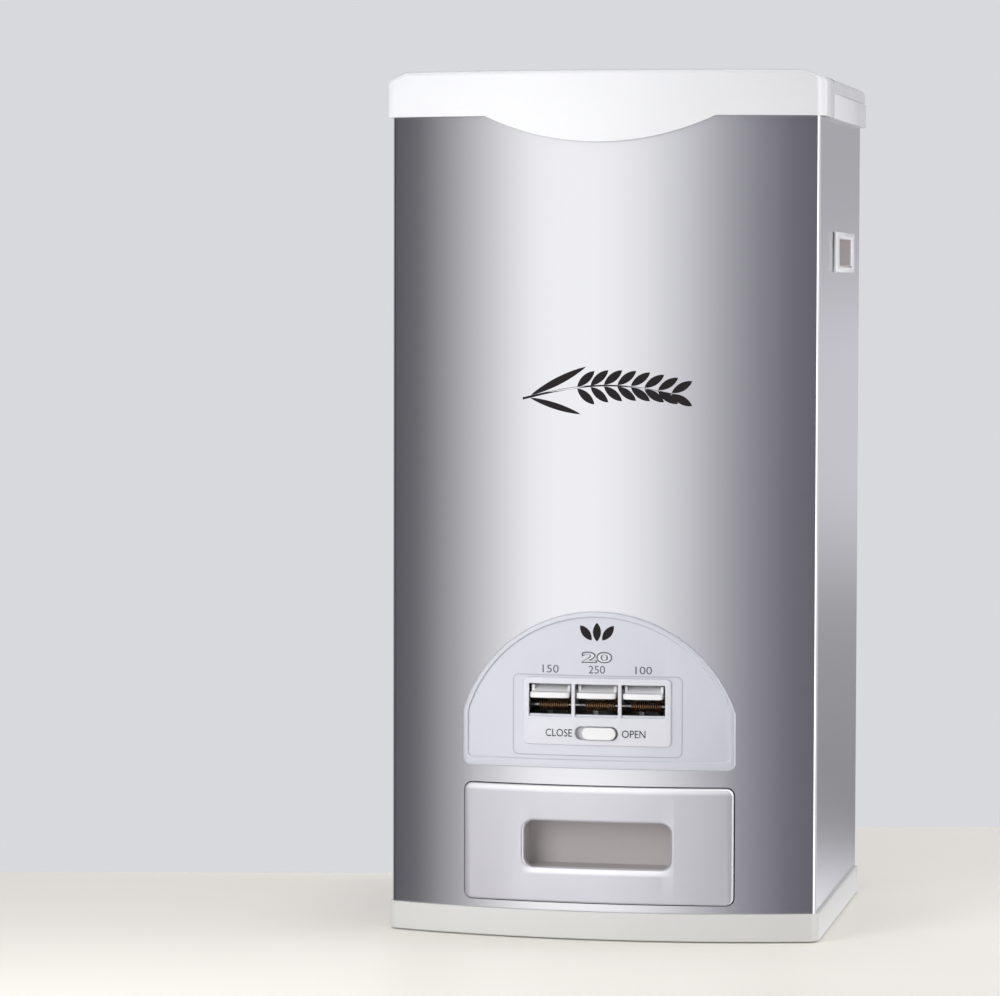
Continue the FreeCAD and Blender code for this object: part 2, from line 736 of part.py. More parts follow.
standRight = keep("stand_right", cut("stand_right", standSolid, axleHole, barHole, *standHoles))
keep("stand_left", mirrored("stand_left", standRight))

axleHalf = standX + " + stand_thickness + clip_width + bar_end"
keep("key_axle", cylinder("key_axle", "axle_radius", "2 * (" + axleHalf + ")", "-(" + axleHalf + ")",
                          "axle_y", "axle_height", alongX))
clipX = standX + " + stand_thickness + touch_gap"
clipRight = cut("clip_right", cylinder("clip_disc", "clip_radius", "clip_width", clipX, "axle_y",
                                       "axle_height", alongX), axleHole)
keep("axle_clips", group("axle_clips", [clipRight, mirrored("clip_left", clipRight)]))

# Metering case: three cells under one top plate
cellSplits = {"150": ("-bank_half_width", "split_left"), "250": ("split_left", "split_right"),
              "100": ("split_right", "bank_half_width")}
armSpace = "arm + 2 * arm_gap"


def cellForm(name, low, high, inset):
    x = (low + " + " + armSpace + " + " + inset, high + " - (" + armSpace + " + " + inset + ")")
    length = "(" + x[1] + ") - (" + x[0] + ")"
    rimPart = cylinder(name + "_rear", "outer_sweep - sweep_gap - " + inset, length, x[0], "axle_y",
                       "axle_height", alongX)
    corePart = cylinder(name + "_front", "inner_sweep + blade + sweep_gap + " + inset, length, x[0],
                        "axle_y", "axle_height", alongX)
    block = boxBetween(name + "_block", x, ("axle_y + 10", "axle_y + outer_sweep + 10"),
                       ("case_bottom + " + inset, "case_top - " + inset))
    return common(name, cut(name + "_ring", rimPart, corePart), block)


cells = []
for amount, (low, high) in cellSplits.items():
    outer = cellForm("cell_" + amount, low, high, "0")
    hollow = cellForm("cell_hollow_" + amount, low, high, "case_wall")
    x = (low + " + " + armSpace + " + case_wall", high + " - (" + armSpace + " + case_wall)")
    inletGap = boxBetween("cell_inlet_" + amount, x, ("axle_y + outer_sweep - 12", "axle_y + outer_sweep + 5"),
                          ("inlet_low", "inlet_high"))
    outletGap = boxBetween("cell_outlet_" + amount, x, ("axle_y + 20", "axle_y + inner_sweep"),
                           ("outlet_low", "outlet_high"))
    cells.append(cut("cell_shell_" + amount, outer, hollow, inletGap, outletGap))
caseLid = boxBetween("case_lid_plate", ("-(" + standX + " + stand_thickness)", standX + " + stand_thickness"),
                     ("axle_y + inner_sweep - 12", "axle_y + outer_sweep"), (standTop, "case_top"))
keep("metering_case", fuse("metering_case", caseLid, *cells))

# Keys: tab, hub on the axle, web to the crossbar, and the cradle that opens and closes its cell
keyCentres = {"150": "-key_pitch", "250": "0", "100": "key_pitch"}
crossSpans = {"150": ("split_left - pad_length", "-key_pitch - key_width / 2 + hub_width"),
              "250": ("-key_width / 2", "-key_width / 2 + hub_width"),
              "100": ("key_pitch - key_width / 2", "split_right + pad_length")}
padSpans = {"150": ("split_left - pad_length", "split_left - arm_gap"), "250": crossSpans["250"],
            "100": ("split_right + arm_gap", "split_right + pad_length")}
keyFront = "front_y - key_reach"


def key(amount):
    low, high = cellSplits[amount]
    centre = keyCentres[amount]
    name = "key_" + amount
    hubX = (centre + " - key_width / 2", centre + " - key_width / 2 + hub_width")
    bladeX = (low + " + arm_gap", high + " - arm_gap")
    hub = cylinder(name + "_hub", "hub_radius", "hub_width", hubX[0], "axle_y", "axle_height", alongX)
    lipBlock = boxBetween(name + "_lip_block", (centre + " - key_width / 2", centre + " + key_width / 2"),
                          (keyFront, keyFront + " + lip_depth"), ("key_top - key_thickness", "key_top"))
    frontLimit = value(keyFront) + 0.1
    lip = rounded(name + "_lip", lipBlock, "lip_corner",
                  lambda edge: isUpright(edge) and edge.BoundBox.YMax < frontLimit)
    ramp = box(name + "_ramp", centre + " - key_width / 2", keyFront + " + lip_depth - ramp_thickness",
               "key_top - ramp_thickness", "key_width", "ramp_length", "ramp_thickness")
    ramp.Placement.Rotation = FreeCAD.Rotation(FreeCAD.Vector(1, 0, 0), value("ramp_angle"))
    pieces = [lip, ramp]
    for tag, x in (("low", (hubX[0], hubX[0] + " + cheek_width")),
                   ("high", (centre + " + key_width / 2 - cheek_width", centre + " + key_width / 2"))):
        pieces.append(boxBetween(name + "_cheek_" + tag, x, (keyFront + " + lip_depth - nick", "axle_y"),
                                 ("axle_height + cheek_low", "axle_height + cheek_high")))
        pieces.append(boxBetween(name + "_post_" + tag, x, ("axle_y - post_half", "axle_y + post_half"),
                                 ("axle_height", "axle_height + cheek_high")))
    pieces.append(cylinder(name + "_end_hub", "hub_radius", "cheek_width",
                           centre + " + key_width / 2 - cheek_width", "axle_y", "axle_height", alongX))
    finger = boxBetween(name + "_finger",
                        ("(" + hubX[0] + " + " + hubX[1] + ") / 2 - finger_width / 2",
                         "(" + hubX[0] + " + " + hubX[1] + ") / 2 + finger_width / 2"),
                        ("axle_y - finger_thickness / 2", "axle_y + finger_thickness / 2"),
                        ("axle_height - finger_length", "axle_height"))
    web = box(name + "_web", hubX[0], "axle_y + web_root * cos(web_angle) - web_thickness / 2 * sin(web_angle)",
              "axle_height - web_root * sin(web_angle) - web_thickness / 2 * cos(web_angle)",
              "hub_width", "inner_sweep - 2 * web_root", "web_thickness")
    web.Placement.Rotation = FreeCAD.Rotation(FreeCAD.Vector(1, 0, 0), -value("web_angle"))
    pieces += [hub, finger, web]
    pieces.append(sector(name + "_cross", "inner_sweep - cross_thickness", "inner_sweep - sweep_gap",
                         crossSpans[amount],
                         "-web_angle - cross_half_angle", "-web_angle + cross_half_angle"))
    pieces.append(sector(name + "_pad", "inner_sweep - pad_lap", "inner_sweep + blade / 3", padSpans[amount],
                         "-web_angle - cross_half_angle", "-web_angle + cross_half_angle"))
    pieces.append(sector(name + "_front_blade", "inner_sweep", "inner_sweep + blade", bladeX,
                         "-cradle_low", "-cradle_low + front_blade_angle"))
    pieces.append(sector(name + "_rear_blade", "outer_sweep", "outer_sweep + blade", bladeX,
                         "-cradle_high - rear_blade_angle", "-cradle_high"))
    for tag, x in (("low", (bladeX[0], bladeX[0] + " + arm")), ("high", (bladeX[1] + " - arm", bladeX[1]))):
        pieces.append(sector(name + "_arm_" + tag, "inner_sweep", "outer_sweep + blade", x,
                             "-cradle_low + front_blade_angle - nick", "-cradle_high"))
        pieces.append(sector(name + "_rib_" + tag, "inner_sweep", "inner_sweep + arm_rib", x,
                             "-cradle_low", "-cradle_high"))
    return keep(name, cut(name, fuse(name + "_solid", *pieces), axleHole))


for amount in cellSplits:
    key(amount)


# Return springs: one coil behind each window, all on one rod in lugs of the panel
def springShape():
    radius = value("spring_radius")
    helix = Part.makeHelix(value("spring_pitch"), value("2 * spring_half_length"), radius)
    section = Part.Wire(Part.makeCircle(value("spring_wire / 2"), FreeCAD.Vector(radius, 0, 0),
                                        FreeCAD.Vector(0, 1, 0)))
    return Part.Wire(helix).makePipeShell([section], True, True)


coil = springShape()
springY = "front_y + spring_set_back"
for amount, centre in keyCentres.items():
    spring = doc.addObject("Part::Feature", "key_spring_" + amount)
    spring.Shape = coil
    spring.Placement.Rotation = alongX
    place(spring, centre + " - spring_half_length", springY, "spring_height")
    keep("key_spring_" + amount, spring)

keep("spring_rod", cylinder("spring_rod", "spring_rod_radius", "2 * spring_rod_half", "-spring_rod_half",
                            springY, "spring_height", alongX))

# Lock: knob in the switch plate, stem and toothed bar behind the keys
knobX = ("-slot_half_width + lock_travel + touch_gap",
         "-slot_half_width + lock_travel + touch_gap + knob_width")
knobFace = "front_y - plate_proud - panel_face_proud - knob_proud"
knobBlock = boxBetween("knob_block", knobX, (knobFace, "front_y + knob_root"),
                       ("lock_height - knob_height / 2", "lock_height + knob_height / 2"))
knob = rounded("knob", knobBlock, "knob_height / 2 - touch_gap", isForward)
slide = boxBetween("knob_slide", (knobX[0] + " - slide_lap", knobX[1] + " + slide_lap"),
                   ("front_y + panel_back + slide_gap", "front_y + knob_root"),
                   ("lock_height - knob_height / 2 - nick", "lock_height + knob_height / 2 + nick"))
keep("lock_knob", fuse("lock_knob", knob, slide))
barHalf = standX + " + stand_thickness + lock_travel + bar_end"
bar = boxBetween("bar", ("-(" + barHalf + ")", barHalf), barY, barZ)
stem = boxBetween("stem", ("-stem_half", "stem_half"), ("front_y + knob_root", "axle_y"),
                  ("lock_height - stem_half_height", "lock_height + stem_half_height"))
teeth = []
for amount, centre in keyCentres.items():
    middle = centre + " - key_width / 2 + hub_width / 2 + lock_travel"
    teeth.append(boxBetween("tooth_" + amount, (middle + " - finger_width / 2", middle + " + finger_width / 2"),
                            (toothY, toothY + " + tooth_thickness"),
                            (barZ[1] + " - nick", barZ[1] + " + tooth_height")))
keep("lock_bar", fuse("lock_bar", bar, stem, *teeth))

# Control panel and switch plate
panelTop = "panel_centre + panel_radius + nick"
panelShell = common("panel_shell", dome("panel_outline", "0"),
                    shellBlock("panel_ring", "0", "panel_rim_proud", "panel_bottom - nick", panelTop,
                               "panel_half_width + over"))
panelSink = common("panel_sink", dome("panel_inner", "panel_rim", "panel_foot"),
                   shellBlock("panel_sink_ring", "panel_face_proud", "over", "panel_bottom - nick", panelTop,
                              "panel_half_width + over"))
panelBody = common("panel_body", dome("panel_plug", "panel_rim"),
                   shellBlock("panel_body_ring", "-panel_back", "panel_face_proud", "panel_bottom - nick",
                              panelTop, "panel_half_width + over"))
windowSide = "window_width / 2"
backWindow = boxBetween("back_window",
                        ("-(key_pitch + window_width / 2 + nick)", "key_pitch + window_width / 2 + nick"),
                        ("front_y - over", "front_y + over"),
                       ("window_bottom + window_ledge", "window_top + nick"))
lugs = [boxBetween("lug_" + side, (side + " * (spring_rod_half - nick) - lug_width / 2",
                                   side + " * (spring_rod_half - nick) + lug_width / 2"),
                   ("front_y", springY + " + lug_half_height"),
                   ("spring_height - lug_half_height", "spring_height + lug_half_height"))
        for side in ("-1", "1")]
behindPanel = cylinder("behind_panel", "bow_radius - nick", "panel_radius", "0", "bow_centre_y", "panel_bottom")
lugPieces = [common("lug_trim_" + str(i), lug, behindPanel) for i, lug in enumerate(lugs)]
rodBore = cylinder("spring_rod_bore", "spring_rod_radius + rod_fit", "2 * spring_rod_half + over",
                   "-spring_rod_half - over / 2", springY, "spring_height", alongX)


def slotHole(name, grow):
    block = boxBetween(name + "_block", ("-(slot_half_width + " + grow + ")", "slot_half_width + " + grow),
                       ("front_y - over", "front_y + over"),
                       ("lock_height - slot_height / 2 - " + grow, "lock_height + slot_height / 2 + " + grow))
    return rounded(name, block, "slot_height / 2 + " + grow + " - 0.1", isForward)


keep("control_panel", cut("control_panel", fuse("panel_solid", cut("panel_frame", panelShell, panelSink),
                                                panelBody, *lugPieces), backWindow, rodBore,
                          slotHole("panel_slot", "nick")))
plateBlock = frontWindow("plate_block", "plate_half_width", "plate_bottom", "plate_top", "plate_corner")
plateShell = common("plate_shell", plateBlock,
                    shellBlock("plate_ring", "panel_face_proud", "plate_proud", "plate_bottom - nick",
                               "plate_top + nick", "plate_half_width + over"))
windows = [boxBetween("window_" + amount, (centre + " - " + windowSide, centre + " + " + windowSide),
                      ("front_y - over", "front_y + over"), ("window_bottom", "window_top"))
           for amount, centre in keyCentres.items()]
keep("switch_plate", cut("switch_plate", plateShell, slotHole("plate_slot", "0"), *windows))

# Chute from the cells to the drawer
chuteTopX = "(" + standX + " - 1.2)"


def chuteForm(name, inset, low, high):
    return pyramid(name, low, high,
                   ("-(chute_mouth_half - " + inset + ")", "chute_mouth_half - " + inset),
                   ("front_y + chute_mouth_front + " + inset, "front_y + chute_mouth_back - " + inset),
                   ("-(" + chuteTopX + " - " + inset + ")", chuteTopX + " - " + inset),
                   ("front_y + chute_front + " + inset, "front_y + chute_back - " + inset))


chuteFlange = boxBetween("chute_flange", ("-" + standX, standX),
                         ("front_y + chute_front - 2", "front_y + chute_back + 2"),
                         ("chute_top - chute_wall", "chute_top"))
chuteOuter = chuteForm("chute_outer", "0", "chute_bottom", "chute_top")
chuteInner = chuteForm("chute_inner", "chute_wall", "chute_bottom", "chute_top")
keep("rice_chute", cut("rice_chute", fuse("chute_solid", chuteFlange, chuteOuter), chuteInner))

# Drawer: front, pull cup, box and screws
frontBlock = frontWindow("front_block", "front_half_width", "front_bottom", "front_top", "front_corner")
frontShell = common("front_shell", frontBlock,
                    shellBlock("front_ring", "-front_back", "front_proud", "front_bottom - nick",
                               "front_top + nick", "front_half_width + over"))
pullHole = frontWindow("pull_hole", "pull_half_width", "pull_bottom", "pull_top", "pull_corner")
frontPlate = cut("front_plate", frontShell, pullHole)


def onFront(edge):
    # true where the whole edge lies on the outer face of the drawer front
    spots = [edge.valueAt(edge.FirstParameter), edge.valueAt(edge.LastParameter),
             edge.valueAt((edge.FirstParameter + edge.LastParameter) / 2)]
    centre = FreeCAD.Vector(0, value("bow_centre_y"), 0)
    face = value("bow_radius + front_proud")
    return all(abs(FreeCAD.Vector(spot.x, spot.y, 0).distanceToPoint(centre) - face) < 0.01 for spot in spots)


def aroundPull(edge):
    span = edge.BoundBox
    return onFront(edge) and abs(edge.CenterOfMass.x) < value("pull_half_width + nick") \
        and span.ZMin > value("pull_bottom - nick") and span.ZMax < value("pull_top + nick")


def aroundFront(edge):
    low, high = value("front_bottom + front_corner"), value("front_top - front_corner")
    outside = abs(edge.CenterOfMass.x) > value("front_half_width - front_corner")
    return onFront(edge) and (outside or not low < edge.CenterOfMass.z < high)


softPull = rounded("front_pull_edge", frontPlate, "pull_edge", aroundPull)
softFront = rounded("front_outer_edge", softPull, "front_edge", aroundFront)
drawerScrewSpots = [(side, z) for side in ("-1", "1")
                    for z in ("drawer_bottom + drawer_screw_edge", "drawer_top - drawer_screw_edge")]
screwFace = "(front_y + front_back + touch_gap + drawer_wall + drawer_screw_boss)"


def drawerScrews(tag, grow, depth):
    made = []
    for i, (side, z) in enumerate(drawerScrewSpots):
        x = side + " * (drawer_half_width - drawer_screw_inset)"
        head = cylinder("drawer_head_" + tag + str(i), "screw_head_radius + " + grow, "screw_head", x,
                        screwFace + " + 2 * screw_sink", z, alongBack)
        shank = cylinder("drawer_shank_" + tag + str(i), "screw_radius + " + grow, depth + " + 2 * screw_sink", x,
                         screwFace + " - " + depth, z, alongBack)
        made.append(fuse("drawer_screw_" + tag + str(i), head, shank))
    return made


keep("drawer_front", cut("drawer_front", softFront, *drawerScrews("front", "screw_fit", "drawer_screw_boss")))
cupHalf = "(pull_half_width + cup_wall)"
frontBackRadius = "bow_radius - front_back - touch_gap"
behindFront = cylinder("behind_front", "bow_radius - front_back - touch_gap / 2", "drawer_top + over",
                       "0", "bow_centre_y", "0")
cupBlock = boxBetween("cup_block", ("-" + cupHalf, cupHalf), ("front_y", "front_y + pull_depth + cup_wall"),
                      ("pull_bottom - cup_wall", "pull_top + cup_wall"))
cupHollow = boxBetween("cup_hollow", ("-pull_half_width", "pull_half_width"),
                       ("front_y - over", "front_y + pull_depth"), ("pull_bottom", "pull_top"))
keep("pull_cup", cut("pull_cup", common("cup_solid", cupBlock, behindFront), cupHollow))
drawerBlock = boxBetween("drawer_block", ("-drawer_half_width", "drawer_half_width"),
                         ("front_y", "front_y + drawer_length"), ("drawer_bottom", "drawer_top"))
behindBox = cylinder("behind_box", frontBackRadius, "drawer_top + over", "0", "bow_centre_y", "0")
drawerSolid = common("drawer_solid", drawerBlock, behindBox)
insideBlock = boxBetween("drawer_inside_block",
                         ("-(drawer_half_width - drawer_wall)", "drawer_half_width - drawer_wall"),
                         ("front_y", "front_y + drawer_length - drawer_wall"),
                         ("drawer_bottom + drawer_wall", "drawer_top + over"))
behindWall = cylinder("behind_wall", frontBackRadius + " - drawer_wall", "drawer_top + over", "0",
                      "bow_centre_y", "0")
drawerInside = common("drawer_inside", insideBlock, behindWall)
cupPass = boxBetween("cup_pass", ("-(" + cupHalf + " + clearance)", cupHalf + " + clearance"),
                     ("front_y", "front_y + pull_depth"),
                     ("pull_bottom - cup_wall - clearance", "pull_top + cup_wall + clearance"))
keep("drawer_box", cut("drawer_box", drawerSolid, drawerInside, cupPass,
                       *drawerScrews("box", "screw_fit", "drawer_screw_boss + nick")))
keep("drawer_screws", group("drawer_screws", drawerScrews("fast", "0", "drawer_screw_boss")))

# Runners and rear stops
runnerOuter = "drawer_half_width + clearance + runner_guide"
runnerY = ("front_y + stand_front - 6", "front_y + drawer_length + clearance + stop_depth")
runnerRail = boxBetween("runner_rail", (runnerOuter + " - runner_width", runnerOuter), runnerY,
                        ("floor_top", "drawer_bottom - clearance"))
runnerSide = boxBetween("runner_side", ("drawer_half_width + clearance", runnerOuter), runnerY,
                        ("floor_top", "drawer_bottom + runner_lip"))
runnerRight = keep("runner_right", fuse("runner_right", runnerRail, runnerSide))
keep("runner_left", mirrored("runner_left", runnerRight))
stopRight = boxBetween("stop_right", ("drawer_half_width - stop_width", "drawer_half_width"),
                       ("front_y + drawer_length + clearance", runnerY[1]),
                       ("drawer_bottom - clearance", "drawer_bottom - clearance + stop_height"))
keep("drawer_stops", group("drawer_stops", [stopRight, mirrored("stop_left", stopRight)]))

doc.recompute()

for made in doc.Objects:
    if "Invalid" in made.State or "Error" in made.State:
        raise RuntimeError("failed: " + made.Name)
os.makedirs("parts", exist_ok=True)
for name, made in parts.items():
    shape = made.Shape
    if shape.isNull() or not shape.isValid() or not shape.Solids:
        raise RuntimeError("no valid solid: " + name)
    shape.exportStep("parts/" + name + ".step")
print(len(parts), "nodes")
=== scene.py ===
import json
import math
import bmesh
import bpy
from mathutils import Matrix, Vector


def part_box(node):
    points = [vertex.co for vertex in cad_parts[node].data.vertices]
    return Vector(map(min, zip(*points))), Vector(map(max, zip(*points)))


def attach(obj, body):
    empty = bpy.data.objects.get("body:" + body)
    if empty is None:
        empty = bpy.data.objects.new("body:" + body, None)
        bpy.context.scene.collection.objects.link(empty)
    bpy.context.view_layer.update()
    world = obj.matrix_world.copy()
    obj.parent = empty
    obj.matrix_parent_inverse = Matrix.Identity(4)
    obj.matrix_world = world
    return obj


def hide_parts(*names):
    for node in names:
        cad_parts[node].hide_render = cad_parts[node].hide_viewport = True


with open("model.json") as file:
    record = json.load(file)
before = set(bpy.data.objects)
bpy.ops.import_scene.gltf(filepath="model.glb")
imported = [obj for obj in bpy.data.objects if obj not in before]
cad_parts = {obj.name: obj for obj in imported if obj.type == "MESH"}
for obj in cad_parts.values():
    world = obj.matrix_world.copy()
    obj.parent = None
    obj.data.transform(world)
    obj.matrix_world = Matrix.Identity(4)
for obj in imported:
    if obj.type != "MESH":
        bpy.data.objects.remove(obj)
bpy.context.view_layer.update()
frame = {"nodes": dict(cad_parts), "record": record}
print("frame loaded:", len(frame["nodes"]), "nodes")

mm = 0.001
wrapLow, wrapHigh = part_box("body_wrap")
halfWidth = (wrapHigh[0] - wrapLow[0]) / 2
frontY = wrapLow[1]
bow = {"sagitta": 21.4 * mm}  # how far the front stands out at its middle
bowRadius = (halfWidth ** 2 + bow["sagitta"] ** 2) / (2 * bow["sagitta"])


def bowY(x, grow=0.0):
    # y of the bowed front at x, moved outwards by grow
    radius = bowRadius + grow
    return frontY + bowRadius - math.sqrt(max(radius ** 2 - x ** 2, 0))


def linearColour(code):
    def channel(pair):
        level = int(pair, 16) / 255
        return level / 12.92 if level <= 0.04045 else ((level + 0.055) / 1.055) ** 2.4
    return [channel(code[i:i + 2]) for i in (0, 2, 4)] + [1.0]


# small mesh helpers
def deselectAll():
    if bpy.context.object and bpy.context.object.mode != "OBJECT":
        bpy.ops.object.mode_set(mode="OBJECT")
    bpy.ops.object.select_all(action="DESELECT")


def activate(piece):
    deselectAll()
    piece.select_set(True)
    bpy.context.view_layer.objects.active = piece


def applyModifiers(piece):
    activate(piece)
    for modifier in list(piece.modifiers):
        bpy.ops.object.modifier_apply(modifier=modifier.name)


def settle(piece):
    # leaves the piece's place in its mesh
    activate(piece)
    bpy.ops.object.transform_apply(location=True, rotation=True, scale=True)


def smooth(piece, degrees):
    activate(piece)
    bpy.ops.object.shade_smooth_by_angle(angle=math.radians(degrees))


softEdge = {"weld": 0.01 * mm, "flatAngle": 0.3, "sharpAngle": 28, "segments": 4, "smoothAngle": 40}


def softCopy(node, name, wide, narrow, isWide):
    # a merged copy of a CAD node whose edges get a moulded radius: wide where isWide says so
    source = frame["nodes"][node]
    piece = source.copy()
    piece.data = source.data.copy()
    piece.name = name
    piece.data.name = name
    piece.parent = None
    bpy.context.scene.collection.objects.link(piece)
    activate(piece)
    bpy.ops.object.mode_set(mode="EDIT")
    bpy.ops.mesh.select_all(action="SELECT")
    bpy.ops.mesh.remove_doubles(threshold=softEdge["weld"])
    bpy.ops.mesh.dissolve_limited(angle_limit=math.radians(softEdge["flatAngle"]))
    bpy.ops.object.mode_set(mode="OBJECT")
    weights = piece.data.attributes.new("bevel_weight_edge", "FLOAT", "EDGE")
    shape = bmesh.new()
    shape.from_mesh(piece.data)
    shape.edges.ensure_lookup_table()
    values = []
    for edge in shape.edges:
        sharp = len(edge.link_faces) == 2 and edge.calc_face_angle(0) > math.radians(softEdge["sharpAngle"])
        middle = (edge.verts[0].co + edge.verts[1].co) / 2
        values.append((1.0 if isWide(middle) else narrow / wide) if sharp else 0.0)
    shape.free()
    weights.data.foreach_set("value", values)
    bevel = piece.modifiers.new("bevel", "BEVEL")
    bevel.limit_method = "WEIGHT"
    bevel.width = wide
    bevel.segments = softEdge["segments"]
    bevel.use_clamp_overlap = False
    bevel.miter_outer = "MITER_ARC"
    applyModifiers(piece)
    low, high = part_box(node)
    for corner in piece.data.vertices:  # a bevel can push a corner past the node by a hair
        corner.co = [min(max(part, low[i]), high[i]) for i, part in enumerate(corner.co)]
    smooth(piece, softEdge["smoothAngle"])
    return piece


def meshPiece(name, shape):
    # a new piece that takes the built shape
    mesh = bpy.data.meshes.new(name)
    shape.to_mesh(mesh)
    shape.free()
    piece = bpy.data.objects.new(name, mesh)
    bpy.context.scene.collection.objects.link(piece)
    return piece


# materials
def addNode(tree, kind, settings=None, links=None):
    node = tree.nodes.new(kind)
    for key, setting in (settings or {}).items():
        if key in node.inputs:
            node.inputs[key].default_value = setting
        else:
            setattr(node, key, setting)
    for key, source in (links or {}).items():
        tree.links.new(source, node.inputs[key])
    return node


def newMaterial(name, settings):
    material = bpy.data.materials.new(name)
    material.use_nodes = True
    tree = material.node_tree
    shader = tree.nodes["Principled BSDF"]
    for key, setting in settings.items():
        shader.inputs[key].default_value = setting
    return material, tree, shader


def objectGrain(tree, sizes, detail=2.0):
    # noise whose features measure sizes (x, y, z) in metres
    place = addNode(tree, "ShaderNodeTexCoord")
    scaled = addNode(tree, "ShaderNodeMapping", {"Scale": [1 / size for size in sizes]},
                     {"Vector": place.outputs["Object"]})
    return addNode(tree, "ShaderNodeTexNoise", {"Scale": 1.0, "Detail": detail, "Roughness": 0.55},
                   {"Vector": scaled.outputs["Vector"]})


def tintWith(tree, shader, noise, code, low, high=1.0):
    # the written colour, scaled a little by the noise
    share = addNode(tree, "ShaderNodeMapRange", {"To Min": low, "To Max": high}, {"Value": noise.outputs[0]})
    shade = addNode(tree, "ShaderNodeVectorMath", {"operation": "SCALE"}, {"Scale": share.outputs[0]})
    shade.inputs[0].default_value = linearColour(code)[:3]
    tree.links.new(shade.outputs[0], shader.inputs["Base Color"])
    return shade.outputs[0]


def roughenWith(tree, shader, noise, low, high):
    # gloss that drifts between two roughnesses
    drift = addNode(tree, "ShaderNodeMapRange", {"To Min": low, "To Max": high}, {"Value": noise.outputs[0]})
    tree.links.new(drift.outputs[0], shader.inputs["Roughness"])


def raiseWith(tree, shader, noise, strength, depth):
    bump = addNode(tree, "ShaderNodeBump", {"Strength": strength, "Distance": depth},
                   {"Height": noise.outputs[0]})
    tree.links.new(bump.outputs[0], shader.inputs["Normal"])


def mouldedPlastic(name, code, roughness, grain=0.35, depth=0.012, coat=0.0, subsurface=0.0, flake=0.0,
                   specular=0.5):
    # injection moulded plastic: even colour, faint spark grain (grain and depth in mm) and slightly
    # uneven gloss; flake is the share of metal flake in a silver paint on it
    material, tree, shader = newMaterial(name, {
        "Roughness": roughness, "IOR": 1.54, "Coat Weight": coat, "Coat Roughness": 0.08, "Metallic": flake,
        "Specular IOR Level": specular, "Subsurface Weight": subsurface, "Subsurface Scale": 2 * mm,
        "Subsurface Radius": [1.0, 0.95, 0.9]})
    tintWith(tree, shader, objectGrain(tree, [40 * mm] * 3), code, 0.965)
    roughenWith(tree, shader, objectGrain(tree, [6 * mm] * 3), roughness * 0.9, min(roughness * 1.12, 1))
    raiseWith(tree, shader, objectGrain(tree, [grain * mm] * 3), 0.25, depth * mm)
    return material


# painted highlight on the drawer front: a paler band along its upper edge and one under the pull, where the
# rounded lips catch the light
lips = {"topZ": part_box("drawer_front")[1][2], "band": 4.8 * mm, "topFade": 2.4 * mm, "underFade": 2.0 * mm,
        "pullZ": 48 * mm, "pullHalf": 49 * mm, "aboveFar": 6 * mm, "aboveNear": 1 * mm, "endOut": 1.5 * mm,
        "endIn": 7 * mm, "lift": 0.3}


def paintLipHighlights(material):
    tree = material.node_tree
    shader = tree.nodes["Principled BSDF"]
    base = shader.inputs["Base Color"].links[0].from_socket
    place = addNode(tree, "ShaderNodeTexCoord")
    split = addNode(tree, "ShaderNodeSeparateXYZ", None, {"Vector": place.outputs["Object"]})
    across = addNode(tree, "ShaderNodeMath", {"operation": "ABSOLUTE"}, {0: split.outputs["X"]})

    def fade(socket, nought, one):
        # from 0 at nought to 1 at one, whichever is the higher
        ends = {"From Min": min(nought, one), "From Max": max(nought, one), "To Min": float(nought > one),
                "To Max": float(nought < one)}
        return addNode(tree, "ShaderNodeMapRange", ends, {"Value": socket}).outputs[0]

    def both(operation, first, second):
        return addNode(tree, "ShaderNodeMath", {"operation": operation}, {0: first, 1: second}).outputs[0]

    z, pullZ, pullHalf = split.outputs["Z"], lips["pullZ"], lips["pullHalf"]
    top = fade(z, lips["topZ"] - lips["band"], lips["topZ"] - lips["band"] + lips["topFade"])
    under = both("MULTIPLY", fade(z, pullZ - lips["band"], pullZ - lips["band"] + lips["underFade"]),
                 fade(z, pullZ + lips["aboveFar"], pullZ + lips["aboveNear"]))
    ends = fade(across.outputs[0], pullHalf + lips["endOut"], pullHalf - lips["endIn"])
    share = both("MAXIMUM", top, both("MULTIPLY", under, ends))
    # painted highlight: the base colour is raised by share times lift
    lift = addNode(tree, "ShaderNodeVectorMath", {"operation": "MULTIPLY_ADD"}, {0: share, 2: base})
    lift.inputs[1].default_value = [lips["lift"]] * 3
    tree.links.new(lift.outputs[0], shader.inputs["Base Color"])
    return material


def brushedSteel(name, code, roughness=0.24, line=0.5, anisotropy=0.8, tone=0.04):
    # satin ground stainless: hairlines run level round the body, so light spreads upright;
    # line is their height in mm, drawn coarser than the real grit so that it shows
    material, tree, shader = newMaterial(name, {"Metallic": 1.0, "Roughness": roughness,
                                                "Anisotropic": anisotropy, "Anisotropic Rotation": 0.25})
    hair = objectGrain(tree, [60 * mm, 60 * mm, line * mm], 3.0)
    tintWith(tree, shader, hair, code, 1.0 - tone)
    roughenWith(tree, shader, hair, roughness * 0.85, roughness * 1.15)
    raiseWith(tree, shader, hair, 0.12, 0.02 * mm)
    tangent = addNode(tree, "ShaderNodeTangent", {"direction_type": "RADIAL", "axis": "Z"})
    tree.links.new(tangent.outputs[0], shader.inputs["Tangent"])
    return material


def plainMetal(name, code, roughness, grain=1.2, tone=0.1):
    # drawn or plated metal: fine mottled gloss, its mottle grain mm wide
    material, tree, shader = newMaterial(name, {"Metallic": 1.0, "Roughness": roughness})
    mottle = objectGrain(tree, [grain * mm] * 3, 3.0)
    tintWith(tree, shader, mottle, code, 1.0 - tone)
    roughenWith(tree, shader, mottle, roughness * 0.8, roughness * 1.25)
    return material


